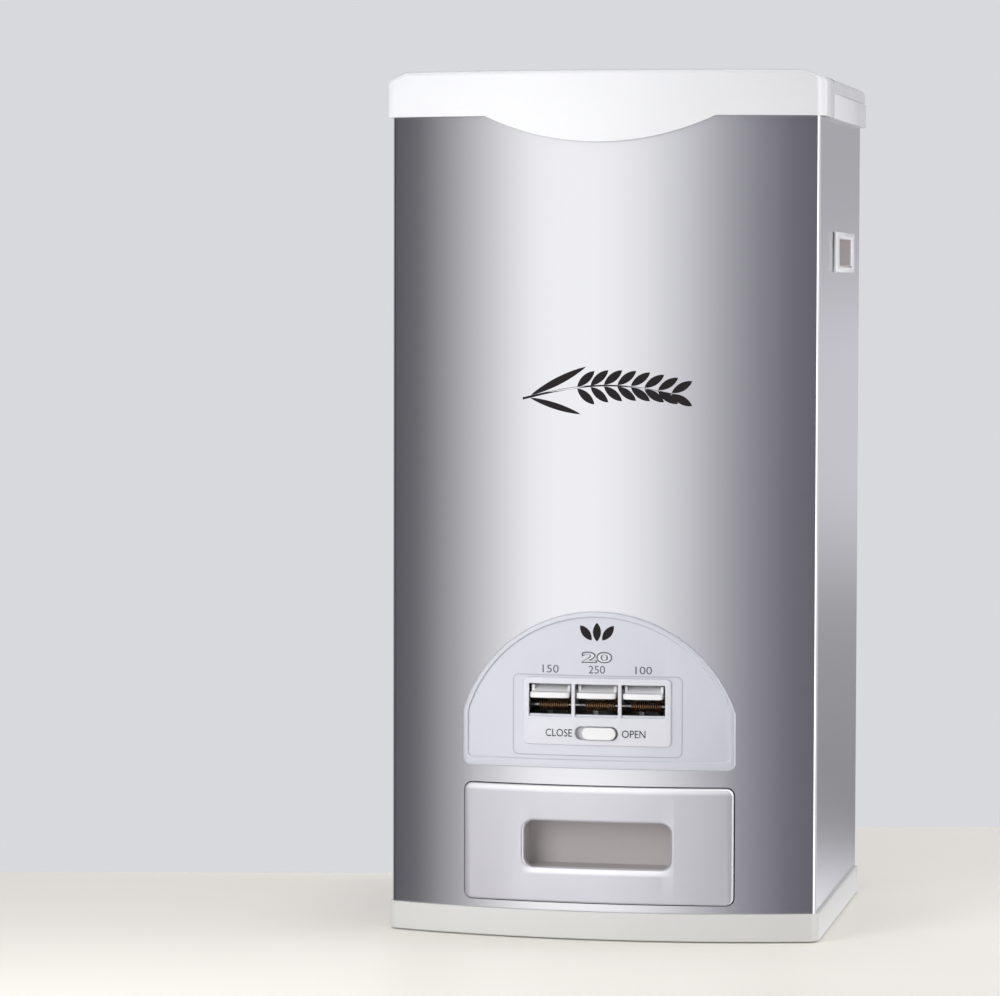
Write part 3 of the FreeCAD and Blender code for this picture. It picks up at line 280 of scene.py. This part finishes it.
finishes = {
    "glossWhiteAbs": mouldedPlastic("gloss white ABS", "F1F2F6", 0.22, 0.3, 0.004, coat=0.5),
    "baseAbs": mouldedPlastic("satin off-white ABS", "DDDDDB", 0.38, 0.35, 0.01),
    "panelAbs": mouldedPlastic("pale grey ABS fascia", "D0D2DA", 0.34, 0.35, 0.01, coat=0.2, flake=0.22),
    "plateAbs": mouldedPlastic("pale grey ABS plate", "DEDFE7", 0.30, 0.3, 0.008),
    "keyAbs": mouldedPlastic("white ABS key", "F2F2F4", 0.25, 0.3, 0.004),
    "frontAbs": paintLipHighlights(mouldedPlastic("satin silver-grey ABS, painted lip highlights", "CDCCD2", 0.32, 0.3, 0.012,
                                          coat=0.25, flake=0.5)),
    "cupAbs": mouldedPlastic("grey ABS cup", "B7B1B2", 0.45, 0.4, 0.02),
    # painted shade: white ABS drawn greyer for the inside of the hand-holds
    "holdShadeAbs": mouldedPlastic("white ABS hand-hold cup, painted shade", "D3CCCD", 0.4, 0.4, 0.02),
    "creamAbs": mouldedPlastic("cream ABS", "D9D2C6", 0.5, 0.5, 0.02),
    "hopperPp": mouldedPlastic("natural polypropylene", "E6E6E0", 0.5, 0.6, 0.02, subsurface=0.05),
    "drawerPs": mouldedPlastic("white polystyrene", "ECECEE", 0.3, 0.4, 0.01),
    "runnerPom": mouldedPlastic("white acetal", "E4E4E1", 0.42, 0.4, 0.01),
    "rubber": mouldedPlastic("black rubber", "1D1C1C", 0.75, 0.5, 0.04),
    "silicone": mouldedPlastic("pale silicone", "DDDDDB", 0.6, 0.5, 0.02),
    "darkPrint": mouldedPlastic("dark grey screen ink", "1C171A", 0.6, 0.2, 0.004, specular=0.2),
    # also laid as the painted shadow round the raised capacity number
    "greyInkAndShade": mouldedPlastic("grey screen ink", "5C5A60", 0.5, 0.2, 0.004),
    "grooveAbs": mouldedPlastic("shaded ABS groove", "B4B6BE", 0.5, 0.2, 0.004),
    "stainless": brushedSteel("brushed stainless steel", "D5D5D7"),
    "zincSheet": plainMetal("zinc coated sheet steel", "9EA0A3", 0.42, 8.0),
    "brightRod": plainMetal("bright drawn steel", "B9B9BB", 0.22),
    "springWire": plainMetal("bronzed spring wire", "A98662", 0.35),
    "rivetMetal": plainMetal("plain aluminium", "C6C6C8", 0.3),
}
nodeFinish = {
    "lid": "glossWhiteAbs", "top_collar": "glossWhiteAbs", "hand_hold_left": "glossWhiteAbs",
    "hand_hold_right": "glossWhiteAbs", "body_wrap": "stainless", "back_panel": "zincSheet",
    "back_rivets": "rivetMetal", "base_tray": "baseAbs", "foot_pads": "rubber", "drawer_stops": "rubber",
    "lid_seal": "silicone", "control_panel": "panelAbs", "switch_plate": "plateAbs", "lock_knob": "keyAbs",
    "lock_bar": "runnerPom", "key_150": "keyAbs", "key_250": "keyAbs", "key_100": "keyAbs",
    "key_spring_150": "springWire", "key_spring_250": "springWire", "key_spring_100": "springWire",
    "key_axle": "brightRod", "hinge_rod": "brightRod", "axle_clips": "brightRod", "stand_screws": "brightRod",
    "drawer_screws": "brightRod", "hopper": "hopperPp", "metering_case": "creamAbs", "rice_chute": "creamAbs",
    "stand_left": "zincSheet", "stand_right": "zincSheet", "drawer_front": "frontAbs", "pull_cup": "cupAbs",
    "hopper_funnel": "hopperPp", "lid_ring": "glossWhiteAbs", "spring_rod": "brightRod",
    "drawer_box": "drawerPs", "runner_left": "runnerPom", "runner_right": "runnerPom",
}


def dress(piece, finish):
    piece.data.materials.clear()
    piece.data.materials.append(finishes[finish])


for node, finish in nodeFinish.items():
    dress(frame["nodes"][node], finish)
bodyOf = {node: body for body, members in frame["record"]["behaviour"]["bodies"].items() for node in members}
print("finishes set")


def standFor(piece, node):
    dress(piece, nodeFinish[node])
    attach(piece, bodyOf[node])
    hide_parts(node)


# moulded covers with their edge radii
lidEdge = {"top": 3.2 * mm, "other": 0.5 * mm, "topBand": 7 * mm, "sideBand": 3 * mm, "frontBand": 0.5 * mm,
           "rearY": 100 * mm}
bothEdges = {"top_collar": (0.8, 0.3), "base_tray": (0.8, 0.4), "hand_hold_left": (1.1, 0.5),
             "hand_hold_right": (1.1, 0.5), "drawer_box": (0.6, 0.4), "pull_cup": (0.8, 0.4)}  # radii in mm
bowedEdges = {"control_panel": (0.9, 0.3), "drawer_front": (0.4, 0.3)}  # front edges, then the others
bowBand = 2.0 * mm  # edges this near the bow have the front radius
insetEdges = {"radii": (0.5, 0.3), "depth": 12 * mm}
holdLip = 0.6 * mm  # the hand-holds' cups, whose faces take the painted shade, start this far inside the body's sides


def isLidTop(point):
    # the lid's upper outer edges, without the lines that cross its top
    crossing = abs(point.x) < halfWidth - lidEdge["sideBand"] \
        and bowY(point.x, lidEdge["frontBand"]) < point.y < lidEdge["rearY"]
    return point.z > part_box("lid")[1][2] - lidEdge["topBand"] and not crossing


def moulded(node, radii, isWide):
    piece = softCopy(node, node + "_moulded", radii[0] * mm, radii[1] * mm, isWide)
    standFor(piece, node)
    return piece


standFor(softCopy("lid", "lid_shell", lidEdge["top"], lidEdge["other"], isLidTop), "lid")
for node, radii in bothEdges.items():
    piece = moulded(node, radii, lambda point: True)
    if node.startswith("hand_hold"):
        # the cups' inner faces take the greyer white ABS: painted shade of the recess
        piece.data.materials.append(finishes["holdShadeAbs"])
        for face in piece.data.polygons:
            if abs(face.center.x) < halfWidth - holdLip:
                face.material_index = 1
for node, radii in bowedEdges.items():
    moulded(node, radii, lambda point: point.y < bowY(point.x, bowBand))
for node in ("switch_plate", "lock_knob", "key_150", "key_250", "key_100"):
    moulded(node, insetEdges["radii"], lambda point: point.y < bowY(point.x, -insetEdges["depth"]))
print("covers moulded")


# print and relief laid on the bowed front
def layOnBow(piece, proud, thickness, finish):
    # takes a flat mesh drawn in x and z and gives it a thickness on the bowed front
    settle(piece)
    for corner in piece.data.vertices:
        corner.co.y = bowY(corner.co.x, proud)
    solid = piece.modifiers.new("solid", "SOLIDIFY")
    solid.thickness = thickness
    solid.offset = 0
    applyModifiers(piece)
    activate(piece)
    bpy.ops.object.mode_set(mode="EDIT")
    bpy.ops.mesh.select_all(action="SELECT")
    bpy.ops.mesh.normals_make_consistent(inside=False)
    bpy.ops.object.mode_set(mode="OBJECT")
    dress(piece, finish)
    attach(piece, "dispenser")


def lettering(words, name, x, z, height, width, bold=0.0):
    # flat words drawn in x and z, stretched to a height and a width
    deselectAll()
    bpy.ops.object.text_add(location=(0, 0, 0))
    text = bpy.context.object
    text.name = name
    text.data.body = words
    text.data.align_x = "CENTER"
    text.data.align_y = "CENTER"
    text.data.size = 1.0
    text.data.offset = bold
    text.data.resolution_u = 4
    bpy.ops.object.convert(target="MESH")
    piece = bpy.context.object
    xs = [corner.co.x for corner in piece.data.vertices]
    ys = [corner.co.y for corner in piece.data.vertices]
    scaleX, scaleZ = width / (max(xs) - min(xs)), height / (max(ys) - min(ys))
    midX, midY = (max(xs) + min(xs)) / 2, (max(ys) + min(ys)) / 2
    for corner in piece.data.vertices:
        corner.co = Vector((x + (corner.co.x - midX) * scaleX, 0, z + (corner.co.y - midY) * scaleZ))
    return piece


ink = {"gap": 0.05 * mm, "thick": 0.1 * mm, "panelProud": 1.0 * mm, "plateProud": 2.6 * mm}
marks = {"keyPitch": 31.2 * mm, "rowZ": 180.2 * mm, "rowHeight": 5.2 * mm, "rowWidth": 11 * mm,
         "markZ": 138 * mm, "markHeight": 5.0 * mm}
lockWords = {"CLOSE": (-25.2 * mm, 18.0 * mm), "OPEN": (25.0 * mm, 15.6 * mm)}  # middle x and width
for column, words in enumerate(("150", "250", "100")):
    row = lettering(words, "portion_" + words, (column - 1) * marks["keyPitch"], marks["rowZ"],
                    marks["rowHeight"], marks["rowWidth"])
    layOnBow(row, ink["panelProud"] + ink["gap"], ink["thick"], "greyInkAndShade")
for words, (x, width) in lockWords.items():
    mark = lettering(words, "lock_" + words.lower(), x, marks["markZ"], marks["markHeight"], width)
    layOnBow(mark, ink["plateProud"] + ink["gap"], ink["thick"], "darkPrint")


def flatShape(name, loops):
    # filled flat mesh in x and z from closed loops of points
    shape = bmesh.new()
    for loop in loops:
        shape.faces.new([shape.verts.new((x, 0, z)) for x, z in loop])
    return meshPiece(name, shape)


def grain(x, z, length, width, turn, steps=9):
    # pointed oval seen flat, such as a husked grain
    points = []
    for side in (1, -1):
        for i in range(steps):
            share = i / steps if side == 1 else 1 - i / steps
            along = (share - 0.5) * length
            across = side * width / 2 * math.sin(math.pi * share) ** 0.75
            points.append((x + along * math.cos(turn) - across * math.sin(turn),
                           z + along * math.sin(turn) + across * math.cos(turn)))
    return points


def stemStrip(points, width):
    # tapering strip along a few points
    left, right = [], []
    for i, (x, z) in enumerate(points):
        ahead = points[min(i + 1, len(points) - 1)]
        behind = points[max(i - 1, 0)]
        run = Vector((ahead[0] - behind[0], ahead[1] - behind[1])).normalized()
        half = width / 2 * (1 - 0.6 * i / (len(points) - 1))
        left.append((x - run.y * half, z + run.x * half))
        right.append((x + run.y * half, z - run.x * half))
    return left + right[::-1]


ear = {"centreX": 1.0 * mm, "centreZ": 364.8 * mm, "length": 104 * mm, "rise": 9 * mm, "sink": 6 * mm,
       "stem": 1.5 * mm, "grains": 8, "grainLength": 15.5 * mm, "grainWidth": 5.4 * mm, "grainOut": 0.56,
       "firstGrain": 0.35, "lastGrain": 0.95, "openTurn": 42, "closeBy": 14, "proud": 0.06 * mm}
# each leaf from its root on the stem: middle x, middle z, length, width and turn
leaves = {"root": 0.05, "upper": (19 * mm, 10.5 * mm, 42 * mm, 5.0 * mm, 27),
          "lower": (17 * mm, -6.0 * mm, 36 * mm, 4.2 * mm, -17), "steps": 14}


def stemPoint(share):
    return (ear["centreX"] + (share - 0.5) * ear["length"],
            ear["centreZ"] - ear["sink"] + ear["rise"] * math.sin(math.pi * share * 0.9))


def riceEar():
    # a lying ear of rice: arched stem, paired grains and two leaves
    loops = [stemStrip([stemPoint(i / 24) for i in range(25)], ear["stem"])]
    for i in range(ear["grains"]):
        x, z = stemPoint(ear["firstGrain"] + (ear["lastGrain"] - ear["firstGrain"]) * i / (ear["grains"] - 1))
        away = ear["grainLength"] * ear["grainOut"]
        for side in (1, -1):
            turn = side * math.radians(ear["openTurn"] - ear["closeBy"] * i / ear["grains"])
            loops.append(grain(x + math.cos(turn) * away, z + math.sin(turn) * away, ear["grainLength"],
                               ear["grainWidth"], turn))
    rootX, rootZ = stemPoint(leaves["root"])
    for key in ("upper", "lower"):
        x, z, length, width, turn = leaves[key]
        loops.append(grain(rootX + x, rootZ + z, length, width, math.radians(turn), leaves["steps"]))
    return loops


def ringStrip(name, halfWide, low, high, corner, width):
    # thin closed line round an upright rectangle with rounded corners
    line = []
    for i, (x, z) in enumerate(((1, 1), (-1, 1), (-1, -1), (1, -1))):
        for step in range(7):
            angle = math.radians(90 * i + 15 * step)
            line.append((x * (halfWide - corner), (high - corner) if z > 0 else (low + corner), angle))
    shape = bmesh.new()
    rims = [[shape.verts.new((x + r * math.cos(a), 0, z + r * math.sin(a))) for x, z, a in line]
            for r in (corner, corner - width)]
    for i in range(len(line)):
        j = (i + 1) % len(line)
        shape.faces.new((rims[0][i], rims[0][j], rims[1][j], rims[1][i]))
    piece = meshPiece(name, shape)
    activate(piece)
    bpy.ops.object.mode_set(mode="EDIT")
    bpy.ops.mesh.select_all(action="SELECT")
    bpy.ops.mesh.subdivide(number_cuts=15)  # short enough to follow the bow
    bpy.ops.object.mode_set(mode="OBJECT")
    return piece


fascia = {"lineHalf": 57 * mm, "lineLow": 122.5 * mm, "lineHigh": 176.4 * mm, "lineCorner": 4 * mm,
          "lineWidth": 0.7 * mm, "lineGap": 0.06 * mm}
capacity = {"words": "20", "z": 188.3 * mm, "width": 19 * mm, "height": 6.0 * mm, "shadeWider": 1.6 * mm,
            "shadeTaller": 1.5 * mm, "shadeBold": 0.045, "proud": 0.25 * mm, "thick": 0.3 * mm}
badge = {"z": 200.5 * mm, "grain": 12.5 * mm, "width": 5.4 * mm, "spread": 7.4 * mm, "rise": 4.6 * mm,
         "sideDrop": 0.6 * mm, "sideTurn": 38}
line = ringStrip("fascia_line", fascia["lineHalf"], fascia["lineLow"], fascia["lineHigh"],
                 fascia["lineCorner"], fascia["lineWidth"])
layOnBow(line, ink["panelProud"] + fascia["lineGap"], ink["thick"], "grooveAbs")
# painted shadow: a wider, bolder copy of the number in grey ink under the raised one
shade = lettering(capacity["words"], "capacity_shade", 0.0, capacity["z"],
                  capacity["height"] + capacity["shadeTaller"], capacity["width"] + capacity["shadeWider"],
                  capacity["shadeBold"])
layOnBow(shade, ink["panelProud"] + ink["gap"], ink["thick"], "greyInkAndShade")
raised = lettering(capacity["words"], "capacity_raised", 0.0, capacity["z"], capacity["height"],
                   capacity["width"])
layOnBow(raised, ink["panelProud"] + capacity["proud"], capacity["thick"], "plateAbs")
grains = [grain(side * badge["spread"], badge["z"] + badge["rise"] - abs(side) * badge["sideDrop"],
                badge["grain"], badge["width"], math.radians(90 - side * badge["sideTurn"]))
          for side in (-1, 0, 1)]
layOnBow(flatShape("badge_grains", grains), ink["panelProud"] + ink["gap"], ink["thick"], "darkPrint")
layOnBow(flatShape("ear_motif", riceEar()), ear["proud"], ink["thick"], "darkPrint")
print("print laid on the front")

# studio: floor, backdrop colour, lamps, reflected light wall and camera
view = {"place": (472.5 * mm, -2809.55 * mm, 437.9 * mm), "turn": 11.3485, "down": 3.0364, "roll": 0.1335,
        "lens": 148.92, "reach": 50}
table = {"colour": "EFEBE4", "glow": 0.28, "shadeReach": 0.12, "side": 4.0, "front": 4.0,
         "backLeft": 185 * mm, "backRight": 447 * mm, "streak": (500 * mm, 60 * mm, 60 * mm)}
sky = {"backdrop": "D8D9DD", "level": 0.72, "zenith": 0.22}
wall = {"radius": 1.8, "low": -1.6, "height": 4.4, "facets": 180, "seam": 60}  # seam falls in the wall's gap
sideCard = {"place": (0.35, 1.62, 0.05), "width": 1.3, "height": 1.9, "colour": "F0EFF6"}
ceiling = {"place": (0, -0.6, 2.7), "size": 3.2, "level": 1.5}
lamps = {
    "front softbox": {"azimuth": -25, "distance": 0.95, "height": 0.42, "size": (0.5, 1.0), "power": 5.2},
    "side softbox": {"azimuth": 95, "distance": 1.6, "height": 0.5, "size": (0.8, 2.2), "power": 17}}
aimPoint = Vector((0, 0, 0.29))
# levels of the light wall by azimuth: 0 is in front of the object and + goes to the right
wallLevels = {-148: ("ECEBF0", 0.62), -118: ("ECEBF0", 0.78), -96: ("E8E6F0", 0.5),
              -82: ("E2DEF0", 0.12), -47: ("E2DEF0", 0.10), -42: ("EAE7F2", 0.26), -33: ("F2F1F6", 0.76),
              -24: ("FDFDFF", 1.2), -20: ("FDFDFF", 1.37), -11: ("FDFDFF", 1.37), -7: ("FDFDFF", 1.33),
              -2.6: ("FCFCFF", 1.22), 1.6: ("FAFAFE", 1.07), 5.8: ("F7F7FC", 0.92), 10: ("F4F3FA", 0.74),
              14: ("F0EFF8", 0.57), 18: ("ECEAF6", 0.43), 23: ("E6E3F4", 0.31), 27: ("E2DEF0", 0.20),
              36: ("E2DEF0", 0.14), 46: ("E2DEF0", 0.3), 56: ("FFFFFF", 2.5), 76: ("FFFFFF", 2.5),
              86: ("F4F4F8", 1.05), 112: ("F0EFF6", 0.88), 138: ("F4F4F8", 1.1), 150: ("ECEBF0", 0.78)}
# levels of the card that the right side mirrors, by height in metres
cardLevels = {-0.9: 1.4, -0.26: 1.4, -0.16: 0.30, 0.08: 0.40, 0.2: 0.76, 0.38: 0.76, 0.5: 0.50, 1.0: 0.50}


def cameraAxes():
    yaw, pitch = math.radians(view["turn"]), math.radians(view["down"])
    ahead = Vector((-math.sin(yaw) * math.cos(pitch), math.cos(yaw) * math.cos(pitch), -math.sin(pitch)))
    right = Vector((math.cos(yaw), math.sin(yaw), 0))
    return ahead, right, right.cross(ahead)


def setCamera():
    deselectAll()
    bpy.ops.object.camera_add(location=view["place"])
    camera = bpy.context.object
    ahead, right, up = cameraAxes()
    turn = Matrix((right, up, -ahead)).transposed()
    camera.rotation_euler = (turn @ Matrix.Rotation(math.radians(view["roll"]), 3, "Z")).to_euler()
    camera.data.lens = view["lens"]
    camera.data.clip_end = view["reach"]
    bpy.context.scene.camera = camera


def tableTop():
    # limed oak: faint streaks, lifted a little for the camera except where the object shades it
    material, tree, shader = newMaterial("pale oak veneer, limed", {"Roughness": 0.45})
    shade = tintWith(tree, shader, objectGrain(tree, table["streak"], 4.0), table["colour"], 0.95, 1.02)
    path = addNode(tree, "ShaderNodeLightPath")
    clear = addNode(tree, "ShaderNodeAmbientOcclusion", {"Distance": table["shadeReach"], "samples": 8})
    share = addNode(tree, "ShaderNodeMath", {"operation": "MULTIPLY"},
                    {0: path.outputs["Is Camera Ray"], 1: clear.outputs["AO"]})
    lift = addNode(tree, "ShaderNodeMath", {"operation": "MULTIPLY"}, {0: share.outputs[0]})
    lift.inputs[1].default_value = table["glow"]
    tree.links.new(shade, shader.inputs["Emission Color"])
    tree.links.new(lift.outputs[0], shader.inputs["Emission Strength"])
    return material


def setFloor():
    # table top whose far edge steps back on the right
    yaw = math.radians(view["turn"])
    across = Vector((math.cos(yaw), math.sin(yaw), 0))
    ahead = Vector((-math.sin(yaw), math.cos(yaw), 0))
    veneer = tableTop()
    for name, side, back in (("table_left", -1, table["backLeft"]), ("table_right", 1, table["backRight"])):
        deselectAll()
        middle = across * (side * table["side"] / 2) + ahead * ((back - table["front"]) / 2)
        bpy.ops.mesh.primitive_plane_add(size=1, location=(middle.x, middle.y, 0), rotation=(0, 0, yaw))
        top = bpy.context.object
        top.name = name
        top.scale = (table["side"], table["front"] + back, 1)
        settle(top)
        top.data.materials.append(veneer)
        top.visible_glossy = False


def setWorld():
    world = bpy.data.worlds.new("studio")
    bpy.context.scene.world = world
    world.use_nodes = True
    tree = world.node_tree
    tree.nodes.clear()
    path = addNode(tree, "ShaderNodeLightPath")
    shown = addNode(tree, "ShaderNodeMath", {"operation": "MAXIMUM"},
                    {0: path.outputs["Is Camera Ray"], 1: path.outputs["Is Glossy Ray"]})
    either = addNode(tree, "ShaderNodeMath", {"operation": "MAXIMUM"},
                     {0: shown.outputs[0], 1: path.outputs["Is Transmission Ray"]})
    place = addNode(tree, "ShaderNodeTexCoord")
    split = addNode(tree, "ShaderNodeSeparateXYZ", None, {"Vector": place.outputs["Generated"]})
    level = addNode(tree, "ShaderNodeMapRange", {"From Min": 0.0, "From Max": 1.0, "To Min": sky["level"],
                                                 "To Max": sky["zenith"]}, {"Value": split.outputs["Z"]})
    ambient = addNode(tree, "ShaderNodeBackground", {"Color": [1, 1, 1, 1]}, {"Strength": level.outputs[0]})
    backdrop = addNode(tree, "ShaderNodeBackground", {"Color": linearColour(sky["backdrop"])})
    mixed = addNode(tree, "ShaderNodeMixShader", None, {0: either.outputs[0], 1: ambient.outputs[0],
                                                        2: backdrop.outputs[0]})
    addNode(tree, "ShaderNodeOutputWorld", None, {"Surface": mixed.outputs[0]})


def softbox(name, azimuth, distance, height, size, power):
    angle = math.radians(azimuth)
    deselectAll()
    bpy.ops.object.light_add(type="AREA",
                             location=(math.sin(angle) * distance, -math.cos(angle) * distance, height))
    lamp = bpy.context.object
    lamp.name = name
    lamp.data.shape = "RECTANGLE"
    lamp.data.size, lamp.data.size_y = size
    lamp.data.energy = power
    lamp.visible_glossy = False
    lamp.rotation_euler = (aimPoint - lamp.location).to_track_quat("-Z", "Y").to_euler()


def hideFromAllButGloss(card):
    # only reflections see it
    card.visible_camera = False
    card.visible_diffuse = False
    card.visible_shadow = False
    card.visible_transmission = False


def gradedGlow(card, name, levels, readShare):
    # emission graded through levels, {stop: (colour, level)}; readShare(tree) gives 0 to 1 along them
    material = bpy.data.materials.new(name)
    material.use_nodes = True
    tree = material.node_tree
    tree.nodes.clear()
    first, last = min(levels), max(levels)
    ramp = addNode(tree, "ShaderNodeValToRGB", None, {"Fac": readShare(tree)})
    stops = ramp.color_ramp.elements
    while len(stops) > 1:
        stops.remove(stops[-1])
    for i, place in enumerate(sorted(levels)):
        code, level = levels[place]
        position = (place - first) / (last - first)
        stop = stops[0] if i == 0 else stops.new(position)
        stop.position = position
        stop.color = [part * level for part in linearColour(code)[:3]] + [1.0]
    glow = addNode(tree, "ShaderNodeEmission", {"Strength": 1.0}, {"Color": ramp.outputs["Color"]})
    addNode(tree, "ShaderNodeOutputMaterial", None, {"Surface": glow.outputs[0]})
    card.data.materials.append(material)
    hideFromAllButGloss(card)


def setLightWall():
    # curved diffuser round the object, graded from dark to bright
    first, last = min(wallLevels), max(wallLevels)
    deselectAll()
    bpy.ops.mesh.primitive_circle_add(vertices=wall["facets"], radius=wall["radius"],
                                      location=(0, 0, wall["low"]))
    cloth = bpy.context.object
    cloth.name = "light_wall"
    bpy.ops.object.mode_set(mode="EDIT")
    bpy.ops.mesh.select_all(action="SELECT")
    bpy.ops.mesh.extrude_region_move(TRANSFORM_OT_translate={"value": (0, 0, wall["height"])})
    bpy.ops.mesh.select_all(action="DESELECT")
    bpy.ops.object.mode_set(mode="OBJECT")
    for face in cloth.data.polygons:
        azimuth = math.degrees(math.atan2(face.center.x, -face.center.y))
        face.select = not first <= azimuth <= last
    bpy.ops.object.mode_set(mode="EDIT")
    bpy.ops.mesh.select_mode(type="FACE")
    bpy.ops.mesh.delete(type="FACE")
    bpy.ops.object.mode_set(mode="OBJECT")
    settle(cloth)

    def roundTheAxis(tree):
        seam = wall["seam"]
        place = addNode(tree, "ShaderNodeTexCoord")
        turned = addNode(tree, "ShaderNodeMapping", {"Rotation": [0, 0, math.radians(seam)]},
                         {"Vector": place.outputs["Object"]})
        around = addNode(tree, "ShaderNodeTexGradient", {"gradient_type": "RADIAL"},
                         {"Vector": turned.outputs[0]})
        return addNode(tree, "ShaderNodeMapRange", {"From Min": 0.25 + (first + seam) / 360,
                                                    "From Max": 0.25 + (last + seam) / 360},
                       {"Value": around.outputs["Fac"]}).outputs[0]
    gradedGlow(cloth, "graded diffuser cloth", wallLevels, roundTheAxis)


def setSideCard():
    # card behind the object on the right, graded by height, for the flat right side
    deselectAll()
    bpy.ops.mesh.primitive_plane_add(size=1, location=sideCard["place"], rotation=(math.pi / 2, 0, 0))
    card = bpy.context.object
    card.name = "side_card"
    card.scale = (sideCard["width"], sideCard["height"], 1)
    settle(card)

    def upward(tree):
        place = addNode(tree, "ShaderNodeTexCoord")
        split = addNode(tree, "ShaderNodeSeparateXYZ", None, {"Vector": place.outputs["Object"]})
        return addNode(tree, "ShaderNodeMapRange", {"From Min": min(cardLevels), "From Max": max(cardLevels)},
                       {"Value": split.outputs["Z"]}).outputs[0]
    levels = {z: (sideCard["colour"], level) for z, level in cardLevels.items()}
    gradedGlow(card, "graded paper card", levels, upward)


def setCeiling():
    # overhead panel for upper edges and the lips of openings
    deselectAll()
    bpy.ops.mesh.primitive_plane_add(size=ceiling["size"], location=ceiling["place"])
    panel = bpy.context.object
    panel.name = "ceiling_panel"
    settle(panel)
    panel.data.flip_normals()
    even = ("FFFFFF", ceiling["level"])
    gradedGlow(panel, "diffuser panel", {0: even, 1: even},
               lambda tree: addNode(tree, "ShaderNodeValue").outputs[0])


setCamera()
setFloor()
setWorld()
setLightWall()
setSideCard()
setCeiling()
for name, lamp in lamps.items():
    softbox(name, **lamp)
bpy.context.scene.view_settings.view_transform = "Standard"
print("studio set")
